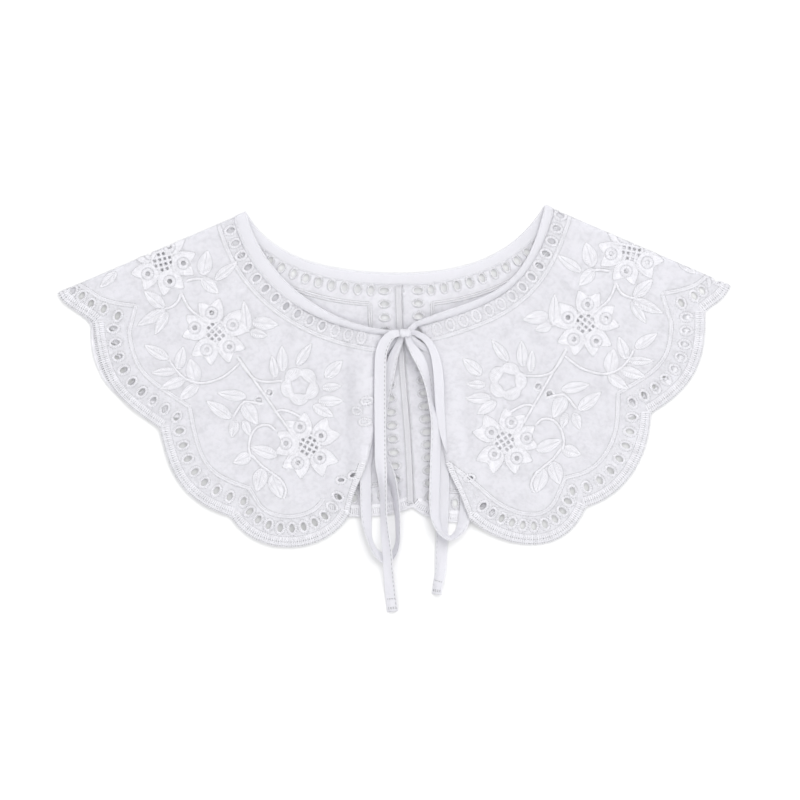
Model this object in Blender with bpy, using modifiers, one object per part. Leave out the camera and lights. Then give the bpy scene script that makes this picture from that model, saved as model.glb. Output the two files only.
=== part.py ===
"""Embroidered collar with a narrow neckband and tape ties, laid flat on a surface.

Each half of the collar is one piece of cloth, folded at its shoulder: the front lies on
top, a rounded fold runs out to the shoulder tip, and the back lies underneath with its
wrong side up. A seam joins the two backs, one neckband binds the whole neck edge, and
the tapes that carry on from its ends are tied in a bow.

Tables are in millimetres. +X is to the collar's right as it lies, +Y goes from the hem to
the shoulders, +Z is up from the surface.
"""
import math

import bmesh
import bpy

MM = 0.001

# Driving sizes.
CLOTH_WALL = 1.2
BAND_WALL = 1.6
SEAM_STRIP_WALL = 0.9
TAPE_WALL = 0.9
SEAM_GAP = 0.3
BAND_WIDTH = 8.2
BAND_STAND = 0.75
SEAM_STRIP_WIDTH = 5.0

# How the front layer is held up between the shoulder and the front edge.
FRONT_PUFF = 2.2
FRONT_EDGE_RISE = 3.8
NECK_EASE = 0.3
FOLD_REACH = 32.0
HEM_REACH = 22.0

# Steps of the walls.
ROWS = 14
FOLD_STEPS = 6
FRONT_STEPS = (3, 8, 8, 9)
BACK_STEPS = (3, 5, 5, 5)
BAND_FRONT_STEPS = 24
BAND_BACK_STEPS = 14
SEAM_STRIP_STEPS = 16
TAPE_STEPS_PER_ROW = 3
CURVE_SAMPLES = 24

BACK_LEVEL = CLOTH_WALL / 2
FRONT_LEVEL = CLOTH_WALL * 1.5 + SEAM_GAP
BAND_BACK_LEVEL = BAND_WALL / 2
BAND_FRONT_LEVEL = BAND_WALL * 1.5 + SEAM_GAP

# Outlines, each from the shoulder inwards: a start, then stretches of
# (first handle, second handle, end).
SHOULDERS = {
    "left": {"neck": (-108.7, 107.5), "tip": (-227.7, 56.4), "band": (-100.8, 111.2)},
    "right": {"neck": (108.3, 113.1), "tip": (227.6, 61.5), "band": (102.3, 115.7)},
}
FRONT_HEMS = {
    "left": [
        ((-224.5, 47.0), (-210.5, 43.5), (-203.5, 36.0)),
        ((-199.5, -3.0), (-191.5, -14.0), (-158.6, -35.4)),
        ((-152.5, -67.5), (-143.0, -85.0), (-110.4, -95.5)),
        ((-94.5, -125.5), (-45.0, -123.5), (-30.8, -93.5)),
    ],
    "right": [
        ((225.5, 52.5), (216.5, 49.0), (210.4, 43.5)),
        ((212.0, 9.5), (203.0, -8.5), (173.6, -25.3)),
        ((173.5, -52.5), (157.5, -82.0), (129.7, -88.6)),
        ((115.5, -125.0), (74.5, -118.0), (51.0, -96.6)),
    ],
}
BACK_HEMS = {
    "left": [
        ((-224.3, 47.8), (-211.5, 44.2), (-205.0, 34.5)),
        ((-207.0, 2.0), (-190.0, -24.0), (-146.0, -28.0)),
        ((-132.0, -70.0), (-92.0, -90.0), (-78.0, -76.0)),
        ((-50.0, -101.0), (-10.0, -97.0), (13.1, -88.5)),
    ],
    "right": [
        ((224.5, 53.5), (214.0, 49.5), (205.5, 41.0)),
        ((203.0, 0.0), (188.0, -20.0), (158.0, -28.0)),
        ((144.0, -68.0), (108.0, -88.0), (92.0, -79.0)),
        ((66.0, -103.0), (28.0, -104.0), (13.1, -88.5)),
    ],
}
FRONT_NECKS = {
    "left": [((-97.0, 59.0), (-56.5, 34.0), (-7.5, 28.2))],
    "right": [((92.5, 56.0), (67.5, 48.5), (15.6, 33.6))],
}
BACK_NECKS = {
    "left": [((-83.0, 69.5), (-37.5, 61.0), (5.2, 62.2))],
    "right": [((90.5, 75.0), (44.5, 61.0), (5.2, 62.2))],
}
# The neckband's free edge, beside the neck seam above.
FRONT_BAND_EDGES = {
    "left": [((-89.5, 67.0), (-47.5, 35.5), (-5.3, 30.9))],
    "right": [((88.0, 51.0), (63.5, 56.5), (13.4, 36.0))],
}
BACK_BAND_EDGES = {
    "left": [((-80.5, 73.5), (-32.5, 70.0), (5.2, 69.4))],
    "right": [((79.0, 78.0), (46.0, 70.5), (5.2, 69.4))],
}
# Front edges and the centre back, from the neck to the hem.
FRONT_EDGES = {
    "left": [((-16.5, 22.0), (-15.5, -8.0), (-15.5, -30.0)),
             ((-15.5, -55.0), (-27.0, -72.0), (-30.8, -93.5))],
    "right": [((23.6, 27.0), (33.4, 8.0), (33.2, -14.0)),
              ((31.6, -40.0), (35.4, -58.0), (51.0, -96.6))],
}
CENTRE_BACK = [((5.0, 12.0), (13.0, -38.0), (13.1, -88.5))]

# Folds in the fronts: centre x, centre y, direction in degrees, half length, half width,
# height, which is negative in a hollow.
FOLDS = {
    "left": [
        (-30.5, -14.0, 92.0, 50.0, 6.0, -4.6),
        (-18.5, -22.0, 92.0, 46.0, 4.5, 1.6),
        (-122.0, 89.0, 20.0, 20.0, 7.0, -1.6),
        (-104.0, 54.0, 0.0, 20.0, 7.0, -1.2),
        (-71.0, -78.0, 0.0, 34.0, 20.0, 1.4),
    ],
    "right": [
        (48.0, -37.0, 90.0, 34.0, 6.0, -2.4),
        (117.0, 63.0, -52.0, 17.0, 4.5, -2.0),
        (95.0, 31.0, -44.0, 17.0, 5.0, -1.8),
        (142.0, -4.0, -76.0, 15.0, 4.0, -1.6),
        (177.0, 16.0, 0.0, 13.0, 5.0, -1.0),
        (88.0, -76.0, 0.0, 34.0, 20.0, 1.4),
    ],
}
# The front corners at the hem that stand up off the back: x, y, spread, height.
CORNER_RISES = {"left": (-30.8, -93.5, 12.0, 0.6), "right": (51.0, -96.6, 15.0, 3.2)}
# Where the front edge's rise begins and ends, by x.
RISE_SPANS = {"left": (-78.0, -22.0), "right": (92.0, 38.0)}

KNOT_CENTRE = (8.7, 28.2, 8.4)
KNOT_SIZE = (8.6, 9.6, 8.4)

# Tapes: x, y, z of the middle, tilt of the tape's width in degrees, width.
TAPES = {
    "tie_tail_left": [
        (3.4, 28.6, 11.0, 10, 4.5), (-1.5, 27.4, 11.4, 12, 6.0), (-6.0, 22.6, 10.8, 10, 7.6),
        (-8.8, 15.0, 10.0, 6, 8.0), (-9.4, 4.0, 9.4, 4, 8.0), (-9.6, -12.0, 9.0, 2, 8.0),
        (-9.5, -28.0, 8.8, 2, 8.0), (-9.4, -44.0, 8.8, 4, 8.0), (-9.2, -58.0, 8.8, 10, 8.0),
        (-8.2, -70.0, 9.0, 40, 8.0), (-7.4, -82.0, 9.2, 58, 8.0), (-7.2, -94.0, 9.4, 58, 8.0),
        (-6.4, -106.0, 9.4, 34, 8.0), (-4.8, -120.0, 9.2, 14, 8.0), (-4.0, -132.0, 7.6, 8, 8.0),
        (-3.1, -142.0, 4.8, 5, 8.0), (-2.2, -151.0, 2.4, 3, 8.0), (-1.0, -160.4, 1.2, 2, 8.0),
    ],
    "tie_tail_right": [
        (9.6, 21.8, 4.2, 0, 4.5), (13.8, 18.8, 4.0, 0, 6.6), (20.2, 13.2, 3.4, 0, 8.0),
        (25.2, 6.0, 2.9, 0, 8.0), (27.6, -2.0, 2.5, 0, 8.0), (28.6, -12.0, 2.3, 0, 8.0),
        (28.8, -24.0, 2.2, 0, 8.0), (29.6, -36.0, 2.2, 0, 8.0), (31.8, -47.0, 2.2, 0, 8.0),
        (33.2, -58.0, 2.2, 0, 8.0), (33.4, -72.0, 2.2, 0, 8.0), (33.2, -86.0, 2.2, 0, 8.0),
        (32.6, -98.0, 2.2, 0, 8.0), (32.4, -109.0, 1.4, 0, 8.0), (31.8, -122.0, 1.3, 6, 8.0),
        (31.2, -134.0, 2.4, 26, 8.0), (29.6, -142.0, 3.0, 36, 8.0), (28.8, -148.6, 2.9, 36, 8.0),
    ],
    "tie_loop_left": [
        (3.6, 24.6, 4.6, -6, 4.0), (-3.0, 21.4, 4.2, -4, 6.0), (-10.0, 13.0, 3.0, 0, 8.0),
        (-15.6, 0.0, 2.4, 0, 8.0), (-18.6, -16.0, 2.2, 0, 8.0), (-19.6, -34.0, 2.2, 0, 8.0),
        (-19.8, -50.0, 2.3, 0, 8.0), (-19.6, -62.0, 3.2, -14, 8.0), (-19.4, -76.0, 4.6, -36, 8.0),
        (-19.2, -90.0, 4.6, -38, 8.0), (-18.4, -102.0, 4.2, -50, 8.0),
        (-16.6, -111.0, 4.2, -66, 8.0), (-12.8, -119.6, 4.0, -60, 8.0),
        (-6.4, -124.6, 3.5, -45, 8.0), (-0.6, -121.6, 4.0, -60, 8.0), (2.4, -113.0, 4.4, -68, 8.0),
        (2.4, -99.0, 5.2, -66, 8.0), (1.4, -86.0, 5.8, -62, 8.0), (-1.0, -73.0, 5.5, -50, 8.0),
        (-5.0, -63.0, 3.5, -14, 8.0), (-8.4, -54.0, 2.3, 0, 8.0), (-9.6, -42.0, 2.2, 0, 8.0),
        (-9.2, -28.0, 2.2, 0, 8.0), (-6.8, -13.0, 2.6, 0, 8.0), (-3.6, 1.0, 4.4, 0, 8.0),
        (-0.8, 12.0, 6.0, 0, 6.4), (3.2, 21.4, 7.0, 0, 4.0),
    ],
    "tie_loop_right": [
        (10.6, 21.4, 8.6, -6, 4.5), (14.4, 15.6, 8.4, -14, 7.0), (18.4, 8.4, 8.2, -30, 8.0),
        (21.4, -0.6, 7.8, -52, 8.0), (23.2, -9.0, 7.6, -66, 8.0), (25.0, -19.0, 7.4, -66, 8.0),
        (27.6, -30.0, 7.0, -50, 8.0), (28.2, -42.0, 6.2, -36, 8.0), (27.8, -58.0, 5.6, -30, 8.0),
        (27.4, -74.0, 5.6, -30, 8.0), (27.2, -88.0, 5.8, -32, 8.0), (28.4, -99.0, 6.6, -48, 8.0),
        (32.2, -107.0, 6.9, -68, 8.0), (38.2, -110.4, 6.4, -68, 8.0), (43.6, -106.6, 4.8, -52, 8.0),
        (46.4, -101.6, 3.5, -26, 8.0), (47.8, -95.6, 3.0, -8, 8.0), (48.8, -84.0, 2.6, 0, 8.0),
        (48.0, -68.0, 2.3, 0, 8.0), (46.4, -50.0, 2.2, 0, 8.0), (44.4, -32.0, 2.2, 0, 8.0),
        (42.4, -16.0, 2.6, 0, 8.0), (39.0, -2.0, 3.4, 0, 8.0), (33.2, 9.8, 4.6, 0, 7.4),
        (24.2, 17.4, 5.8, 0, 6.4), (14.8, 22.6, 6.6, 0, 4.2),
    ],
}


def smooth(value):
    """Rises gently from 0 to 1."""
    value = min(max(value, 0.0), 1.0)
    return value * value * (3.0 - 2.0 * value)


def blend(first, second, share):
    """A point part of the way from one point to another."""
    return tuple(a + (b - a) * share for a, b in zip(first, second))


def run_length(points):
    """Length of a run of points."""
    return sum(math.dist(a, b) for a, b in zip(points, points[1:]))


def bezier(start, stretch, share):
    """A point on one cubic stretch."""
    first, second, end = stretch
    keep = 1.0 - share
    weights = (keep ** 3, 3 * keep * keep * share, 3 * keep * share * share, share ** 3)
    return tuple(sum(w * p[i] for w, p in zip(weights, (start, first, second, end)))
                 for i in range(2))


def outline(start, stretches):
    """Dense points along a chain of cubic stretches."""
    points = [tuple(start)]
    for stretch in stretches:
        begin = points[-1]
        points += [bezier(begin, stretch, k / CURVE_SAMPLES) for k in range(1, CURVE_SAMPLES + 1)]
    return points


def along(points, share):
    """The point a share of the way along a run of points, by length."""
    left = share * run_length(points)
    for a, b in zip(points, points[1:]):
        step = math.dist(a, b)
        if step >= left:
            return blend(a, b, left / step)
        left -= step
    return points[-1]


def spaced(start, stretches, steps):
    """Stations on a chain: each stretch has its own number of even steps."""
    points = [tuple(start)]
    for stretch, count in zip(stretches, steps):
        run = outline(points[-1], [stretch])
        points += [along(run, k / count) for k in range(1, count + 1)]
    return points


def shoulder_line(side):
    """The fold's start at the neck, its unit direction out to the tip, and the unit
    direction across it, towards the hem."""
    neck, tip = SHOULDERS[side]["neck"], SHOULDERS[side]["tip"]
    length = math.dist(neck, tip)
    run = ((tip[0] - neck[0]) / length, (tip[1] - neck[1]) / length)
    across = (-run[1], run[0]) if side == "left" else (run[1], -run[0])
    return neck, run, across


def fold_distance(side, x, y):
    """How far a point lies below its shoulder fold."""
    neck, _, across = shoulder_line(side)
    return (x - neck[0]) * across[0] + (y - neck[1]) * across[1]


FRONT_HEM_RUNS = {side: outline(SHOULDERS[side]["tip"], FRONT_HEMS[side]) for side in FRONT_HEMS}


def hem_distance(side, x, y):
    """How far a point lies from the scalloped edge of its front."""
    return min(math.dist((x, y), point) for point in FRONT_HEM_RUNS[side])


def fold_height(row, x, y):
    """Height that one row of the folds table gives at a point."""
    centre_x, centre_y, degrees, half_length, half_width, height = row
    angle = math.radians(degrees)
    dx, dy = x - centre_x, y - centre_y
    lengthways = (dx * math.cos(angle) + dy * math.sin(angle)) / half_length
    crossways = (dy * math.cos(angle) - dx * math.sin(angle)) / half_width
    return height * math.exp(-lengthways ** 2 * abs(lengthways) - crossways ** 2)


def front_lift(side, x, y):
    """How far the front stands above its lowest level."""
    low, high = RISE_SPANS[side]
    rise = FRONT_EDGE_RISE * smooth((x - low) / (high - low))
    rise *= 1.0 - NECK_EASE * smooth(y / 28.0)
    height = FRONT_PUFF + rise + sum(fold_height(row, x, y) for row in FOLDS[side])
    ease = smooth(fold_distance(side, x, y) / FOLD_REACH) * smooth(hem_distance(side, x, y) / HEM_REACH)
    corner_x, corner_y, spread, corner_rise = CORNER_RISES[side]
    nearness = math.exp(-(math.dist((x, y), (corner_x, corner_y)) / spread) ** 2)
    return max(height, 0.0) * ease + corner_rise * nearness


def inset(side, point, distance):
    """A point of the shoulder line, moved in from the fold."""
    _, _, across = shoulder_line(side)
    return (point[0] + across[0] * distance, point[1] + across[1] * distance)


def fold_arc(side, start, end, low, high, wall, rows):
    """Sections round the shoulder fold, from the back layer up to the front one."""
    radius = (high - low) / 2
    reach = radius + wall / 2
    sections = []
    for k in range(FOLD_STEPS + 1):
        turn = math.pi * k / FOLD_STEPS
        out = reach - radius * math.sin(turn)
        height = low + radius * (1 - math.cos(turn))
        a, b = inset(side, start, out), inset(side, end, out)
        sections.append([(*blend(a, b, t / rows), height) for t in range(rows + 1)])
    return sections


def layer_sections(neck_points, hem_points, edge_points):
    """Sections from the neck to the hem, from the shoulder in to a front or centre edge."""
    total = run_length(hem_points)
    sections = []
    for k in range(1, len(hem_points)):
        share = run_length(hem_points[:k + 1]) / total
        top, bottom = along(neck_points, share), hem_points[k]
        section = []
        for t in range(ROWS + 1):
            x, y = blend(top, bottom, t / ROWS)
            edge = along(edge_points, t / ROWS)
            chord = blend(edge_points[0], edge_points[-1], t / ROWS)
            pull = share ** 4
            section.append((x + pull * (edge[0] - chord[0]), y + pull * (edge[1] - chord[1])))
        sections.append(section)
    return sections


def panel_sections(side):
    """All the sections of one half: back, shoulder fold, front."""
    neck, tip = SHOULDERS[side]["neck"], SHOULDERS[side]["tip"]
    part = SEAM_GAP / 2 * (-1 if side == "left" else 1)
    back = layer_sections(
        outline(neck, BACK_NECKS[side]),
        spaced(tip, BACK_HEMS[side], BACK_STEPS),
        outline(BACK_NECKS[side][-1][2], CENTRE_BACK),
    )
    back[-1] = [(x + part, y) for x, y in back[-1]]
    front = layer_sections(
        outline(neck, FRONT_NECKS[side]),
        spaced(tip, FRONT_HEMS[side], FRONT_STEPS),
        outline(FRONT_NECKS[side][-1][2], FRONT_EDGES[side]),
    )
    sections = [[(x, y, BACK_LEVEL) for x, y in section] for section in reversed(back)]
    sections += fold_arc(side, neck, tip, BACK_LEVEL, FRONT_LEVEL, CLOTH_WALL, ROWS)
    sections += [[(x, y, FRONT_LEVEL + front_lift(side, x, y)) for x, y in section]
                 for section in front]
    return sections


def band_section(seam, free, level, lift, stands):
    """Two points across the neckband; where it is narrow in plan it stands up."""
    width = math.dist(seam, free)
    rise = BAND_STAND * math.sqrt(max(BAND_WIDTH ** 2 - width ** 2, 0.0)) if stands else 0.0
    part = 2 * SEAM_GAP + BAND_WALL / 2 * rise / math.hypot(rise, width)
    return [(*blend(seam, free, part / width), level + lift), (*free, level + lift + rise)]


def band_layer(side, necks, edges, steps, level, front):
    """The neckband's sections on one layer, from the shoulder to the middle."""
    seam = outline(SHOULDERS[side]["neck"], necks[side])
    free = outline(SHOULDERS[side]["band"], edges[side])
    sections = []
    for k in range(1, steps + 1):
        a, b = along(seam, k / steps), along(free, k / steps)
        lift = front_lift(side, *a) if front else 0.0
        sections.append(band_section(a, b, level, lift, front))
    return sections


def band_fold(side):
    """The neckband's sections round the shoulder fold, from back to front."""
    seam, free = SHOULDERS[side]["neck"], SHOULDERS[side]["band"]
    start = blend(seam, free, 2 * SEAM_GAP / math.dist(seam, free))
    return fold_arc(side, start, free, BAND_BACK_LEVEL, BAND_FRONT_LEVEL, BAND_WALL, 1)


def band_sections():
    """The whole neckband, from the left front end round the back to the right one."""
    halves = {}
    for side in ("left", "right"):
        front = band_layer(side, FRONT_NECKS, FRONT_BAND_EDGES, BAND_FRONT_STEPS,
                           BAND_FRONT_LEVEL, True)
        back = band_layer(side, BACK_NECKS, BACK_BAND_EDGES, BAND_BACK_STEPS,
                          BAND_BACK_LEVEL, False)
        halves[side] = list(reversed(back)) + band_fold(side) + front
    return list(reversed(halves["left"])) + halves["right"][1:]


def seam_strip_sections():
    """The centre-back seam allowance, pressed to the left and lying on the left back."""
    seam = outline(BACK_NECKS["left"][-1][2], CENTRE_BACK)
    level = CLOTH_WALL + SEAM_GAP + SEAM_STRIP_WALL / 2
    sections = []
    for k in range(SEAM_STRIP_STEPS + 1):
        x, y = along(seam, 0.012 + 0.98 * k / SEAM_STRIP_STEPS)
        sections.append([(x - SEAM_GAP - SEAM_STRIP_WIDTH * share, y, level) for share in (1, 0)])
    return sections


def spline_row(rows, position):
    """A row read from a smooth curve through the rows of a table."""
    index = min(int(position), len(rows) - 2)
    share = position - index
    before, start = rows[max(index - 1, 0)], rows[index]
    end, after = rows[index + 1], rows[min(index + 2, len(rows) - 1)]
    values = []
    for a, b, c, d in zip(before, start, end, after):
        values.append(0.5 * (2 * b + (c - a) * share + (2 * a - 5 * b + 4 * c - d) * share ** 2
                             + (3 * b - a - 3 * c + d) * share ** 3))
    return values


def tape_sections(rows):
    """Two points across a tape at each step of its route, turned by its tilt."""
    steps = (len(rows) - 1) * TAPE_STEPS_PER_ROW
    route = [spline_row(rows, k / TAPE_STEPS_PER_ROW) for k in range(steps + 1)]
    sections = []
    for k, (x, y, z, tilt, width) in enumerate(route):
        before, after = route[max(k - 1, 0)], route[min(k + 1, steps)]
        run = math.atan2(after[1] - before[1], after[0] - before[0])
        flat, up = math.cos(math.radians(tilt)), math.sin(math.radians(tilt))
        side = (-math.sin(run) * flat, math.cos(run) * flat, up)
        sections.append([(x + side[0] * reach, y + side[1] * reach, z + side[2] * reach)
                         for reach in (-width / 2, width / 2)])
    return sections


def make_material(name, colour, roughness):
    """A plain finish in the piece's own colour."""
    material = bpy.data.materials.new(name)
    material.use_nodes = True
    shader = material.node_tree.nodes["Principled BSDF"]
    shader.inputs["Base Color"].default_value = (*colour, 1.0)
    shader.inputs["Roughness"].default_value = roughness
    shader.inputs["Metallic"].default_value = 0.0
    return material


def make_wall(name, sections, wall, collection, material):
    """A cloth wall: an open surface lofted through its sections, with Solidify."""
    mesh = bpy.data.meshes.new(name)
    shape = bmesh.new()
    grid = [[shape.verts.new([value * MM for value in point]) for point in section]
            for section in sections]
    for near, far in zip(grid, grid[1:]):
        for k in range(len(near) - 1):
            shape.faces.new((near[k], near[k + 1], far[k + 1], far[k]))
    bmesh.ops.recalc_face_normals(shape, faces=shape.faces)
    shape.to_mesh(mesh)
    shape.free()
    mesh.shade_smooth()
    mesh.materials.append(material)
    piece = bpy.data.objects.new(name, mesh)
    collection.objects.link(piece)
    thicken = piece.modifiers.new("Wall", "SOLIDIFY")
    thicken.thickness = wall * MM
    thicken.offset = 0.0
    thicken.use_even_offset = True
    return piece


def make_knot(collection, material):
    """The tied knot: a small rounded lump."""
    bpy.ops.mesh.primitive_uv_sphere_add(segments=20, ring_count=12, radius=0.5)
    knot = bpy.context.active_object
    knot.name = "tie_knot"
    for vertex in knot.data.vertices:
        for axis in range(3):
            value = vertex.co[axis]
            squared = math.copysign(abs(2 * value) ** 0.8, value) / 2
            vertex.co[axis] = (squared * KNOT_SIZE[axis] + KNOT_CENTRE[axis]) * MM
    knot.data.shade_smooth()
    knot.data.materials.append(material)
    for home in knot.users_collection:
        home.objects.unlink(knot)
    collection.objects.link(knot)


def main():
    for item in list(bpy.data.objects):
        bpy.data.objects.remove(item, do_unlink=True)
    collection = bpy.data.collections.new("embroidered_collar")
    bpy.context.scene.collection.children.link(collection)
    for side in ("left", "right"):
        cloth = make_material(f"embroidered_cloth_{side}", (0.90, 0.90, 0.92), 0.85)
        make_wall(f"panel_{side}", panel_sections(side), CLOTH_WALL, collection, cloth)
    band = make_material("neckband_cloth", (0.92, 0.92, 0.94), 0.75)
    make_wall("neckband", band_sections(), BAND_WALL, collection, band)
    strip = make_material("seam_cloth", (0.88, 0.88, 0.90), 0.85)
    make_wall("centre_back_seam", seam_strip_sections(), SEAM_STRIP_WALL, collection, strip)
    for name, rows in TAPES.items():
        tape = make_material(f"{name}_cloth", (0.94, 0.94, 0.95), 0.65)
        make_wall(name, tape_sections(rows), TAPE_WALL, collection, tape)
    make_knot(collection, make_material("tie_knot_cloth", (0.94, 0.94, 0.95), 0.65))


main()
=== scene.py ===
"""Embroidered cotton collar with eyelet work, a narrow neckband and tape ties, laid flat.

Tables are in millimetres; every mesh is in metres. +X is to the collar's right as it lies,
+Y goes from the hem to the shoulders, +Z is up from the floor.

Each half is one piece of cloth. Its cutting plane is the cloth opened out at the shoulder
fold: the first number runs along the fold, the second is positive on the front and negative
on the back. The cloth and its embroidery are laid out in that plane, then carried over the
fold to where they lie.
"""
import math
from collections import namedtuple

import bpy
import numpy as np
from bpy.props import FloatProperty, FloatVectorProperty, IntProperty, PointerProperty
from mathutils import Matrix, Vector
from mathutils.geometry import delaunay_2d_cdt


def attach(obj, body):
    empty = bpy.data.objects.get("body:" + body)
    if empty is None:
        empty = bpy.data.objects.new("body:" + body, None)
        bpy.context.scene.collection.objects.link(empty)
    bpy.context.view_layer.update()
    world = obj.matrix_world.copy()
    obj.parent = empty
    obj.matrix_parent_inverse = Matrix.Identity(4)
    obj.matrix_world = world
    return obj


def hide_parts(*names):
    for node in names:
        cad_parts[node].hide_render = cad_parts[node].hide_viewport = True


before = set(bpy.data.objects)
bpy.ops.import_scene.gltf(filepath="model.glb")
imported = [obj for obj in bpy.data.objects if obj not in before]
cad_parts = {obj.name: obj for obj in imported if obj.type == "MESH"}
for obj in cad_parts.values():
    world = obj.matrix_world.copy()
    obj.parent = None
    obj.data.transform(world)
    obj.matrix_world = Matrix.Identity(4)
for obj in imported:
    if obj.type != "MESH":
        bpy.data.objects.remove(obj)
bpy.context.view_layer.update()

bl_info = {
    "name": "Embroidered Collar",
    "version": (1, 0, 0),
    "blender": (4, 5, 0),
    "location": "3D View > Sidebar > Collar",
    "description": "Sews an embroidered collar with a neckband and tape ties",
    "category": "Add Mesh",
}

MM = 0.001
SIDES = ("left", "right")

# ---------------------------------------------------------------- cutting tables

# Heights of the middle of the cloth where the layers lie flat.
BACK_LEVEL = 0.6
FRONT_LEVELS = {"left": 2.3, "right": 1.7}
FOLD_MARGIN = 0.15
# The front edges roll under: how wide the roll is, how low it comes, where it fades out.
ROLL_WIDTHS = {"left": 4.0, "right": 12.0}
ROLL_LEVELS = {"left": 8.6, "right": 3.4}
# How far the front edges lean towards the tapes.
EDGE_LEANS = {"left": 1.9, "right": -2.6}
LEAN_SPAN = (32.0, 24.0, -60.0, -84.0)
ROLL_SPAN = (16.0, -2.0, -74.0, -90.0)
# Nothing farther than this from a front edge's middle is rolled.
ROLL_REACH = 32.0
CURVE_SAMPLES = 24

FRONT_PUFF = 0.5
HOLLOW_ROUNDING = 1.1
# The back stands off the table a little between the fronts, and more at the neck.
BACK_RISE = 0.6
NECK_RISE = 0.7
BACK_RISE_MIDDLE = 6.0
# How far out it stands, and over what width it comes down: low on the back, then at the neck.
BACK_RISE_REACH = (44.0, 104.0)
BACK_RISE_EDGE = (20.0, 50.0)
NECK_RISE_FROM = 30.0
NECK_RISE_OVER = 25.0
# Where the back billows up towards the front: middle, reach and height.
BACK_BILLOWS = {"left": [(-64, -47, 28, 0.8), (-124, 28, 26, 0.38), (-92, -14, 18, 0.5)],
                "right": [(80, -47, 27, 0.75)]}
# Where the tied strands lie between the layers: middle, half width, and the way out of it.
TIED_SPAN = (14.0, 42.0, 14.0)
BACK_FOLLOWS = {"left": 0.9, "right": 0.55}
# How high the back may follow the front: over the tied strands, and how much more beside them.
TIED_FOLLOW = 0.8
FREE_FOLLOW = 1.4
FRONT_EDGE_RISE = 3.4
NECK_EASE = 0.42
NECK_EASE_REACH = 28.0
FOLD_REACH = 32.0
# The lift is worked out this far beyond the hem, and over at least this middle area.
LIFT_MARGIN = 25.0
LIFT_AREA = ((-40.0, -130.0), (60.0, 120.0))
HEM_REACH = 22.0
BAND_WIDTH = 8.2
BAND_STAND = 0.28
BAND_LEVEL = 0.9
BAND_FOLD_RADIUS = 0.9
SEAM_OVERLAP = 0.7
SEAM_STRIP_WIDTH = 5.0
SEAM_STRIP_SHIFT = 0.3
SEAM_STRIP_STAND = 1.3

# Slow waves in the laid cloth: their lengths, how high the longest is, and how they wander.
RIPPLE_WAVES = (64.0, 47.0, 36.0, 27.0, 21.0, 17.0)
RIPPLE_HEIGHT = 0.22
RIPPLE_BEND = 6.0
RIPPLE_BEND_OVER = 31.0
RIPPLE_SEED = 41
RIPPLE_FADE = 12.0
BACK_RIPPLE = 0.6

# Outlines, each from the shoulder inwards: a start, then stretches of
# (first handle, second handle, end).
SHOULDERS = {
    "left": {"neck": (-108.7, 107.5), "tip": (-227.7, 56.4), "band": (-100.8, 111.2)},
    "right": {"neck": (108.3, 113.1), "tip": (227.6, 61.5), "band": (102.3, 115.7)},
}
FRONT_HEMS = {
    "left": [
        ((-224.5, 47.0), (-210.5, 43.5), (-203.5, 36.0)),
        ((-199.5, -3.0), (-191.5, -14.0), (-158.6, -35.4)),
        ((-152.5, -67.5), (-143.0, -85.0), (-110.4, -95.5)),
        ((-94.5, -124.0), (-45.0, -122.0), (-30.8, -93.5)),
    ],
    "right": [
        ((225.5, 52.5), (216.5, 49.0), (210.4, 43.5)),
        ((212.0, 9.5), (203.0, -8.5), (173.6, -25.3)),
        ((173.5, -52.5), (157.5, -82.0), (129.7, -88.6)),
        ((115.5, -125.0), (74.5, -118.0), (51.0, -96.6)),
    ],
}
BACK_HEMS = {
    "left": [
        ((-224.3, 47.8), (-211.5, 44.2), (-205.0, 34.5)),
        ((-207.0, 2.0), (-190.0, -24.0), (-146.0, -28.0)),
        ((-132.0, -70.0), (-92.0, -90.0), (-78.0, -76.0)),
        ((-50.0, -101.0), (-10.0, -97.0), (13.1, -88.5)),
    ],
    "right": [
        ((224.5, 53.5), (214.0, 49.5), (205.5, 41.0)),
        ((203.0, 0.0), (188.0, -20.0), (158.0, -28.0)),
        ((144.0, -68.0), (108.0, -88.0), (92.0, -79.0)),
        ((66.0, -103.0), (28.0, -104.0), (13.1, -88.5)),
    ],
}
FRONT_NECKS = {
    "left": [((-97.0, 59.0), (-56.5, 34.0), (-7.5, 28.2))],
    "right": [((92.5, 56.0), (67.5, 48.5), (15.6, 33.6))],
}
BACK_NECKS = {
    "left": [((-83.0, 69.5), (-37.5, 61.0), (5.2, 62.2))],
    "right": [((90.5, 75.0), (44.5, 61.0), (5.2, 62.2))],
}
FRONT_BAND_EDGES = {
    "left": [((-89.5, 67.0), (-47.5, 35.5), (-5.3, 30.9))],
    "right": [((88.0, 51.0), (63.5, 56.5), (13.4, 36.0))],
}
BACK_BAND_EDGES = {
    "left": [((-80.5, 73.5), (-32.5, 70.0), (5.2, 69.4))],
    "right": [((79.0, 78.0), (46.0, 70.5), (5.2, 69.4))],
}
FRONT_EDGES = {
    "left": [((-16.5, 22.0), (-15.5, -8.0), (-15.5, -30.0)),
             ((-15.5, -55.0), (-27.0, -72.0), (-30.8, -93.5))],
    "right": [((23.6, 27.0), (33.4, 8.0), (33.2, -14.0)),
              ((31.6, -40.0), (35.4, -58.0), (51.0, -96.6))],
}
CENTRE_BACK = [((5.0, 12.0), (13.0, -38.0), (13.1, -88.5))]

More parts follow.
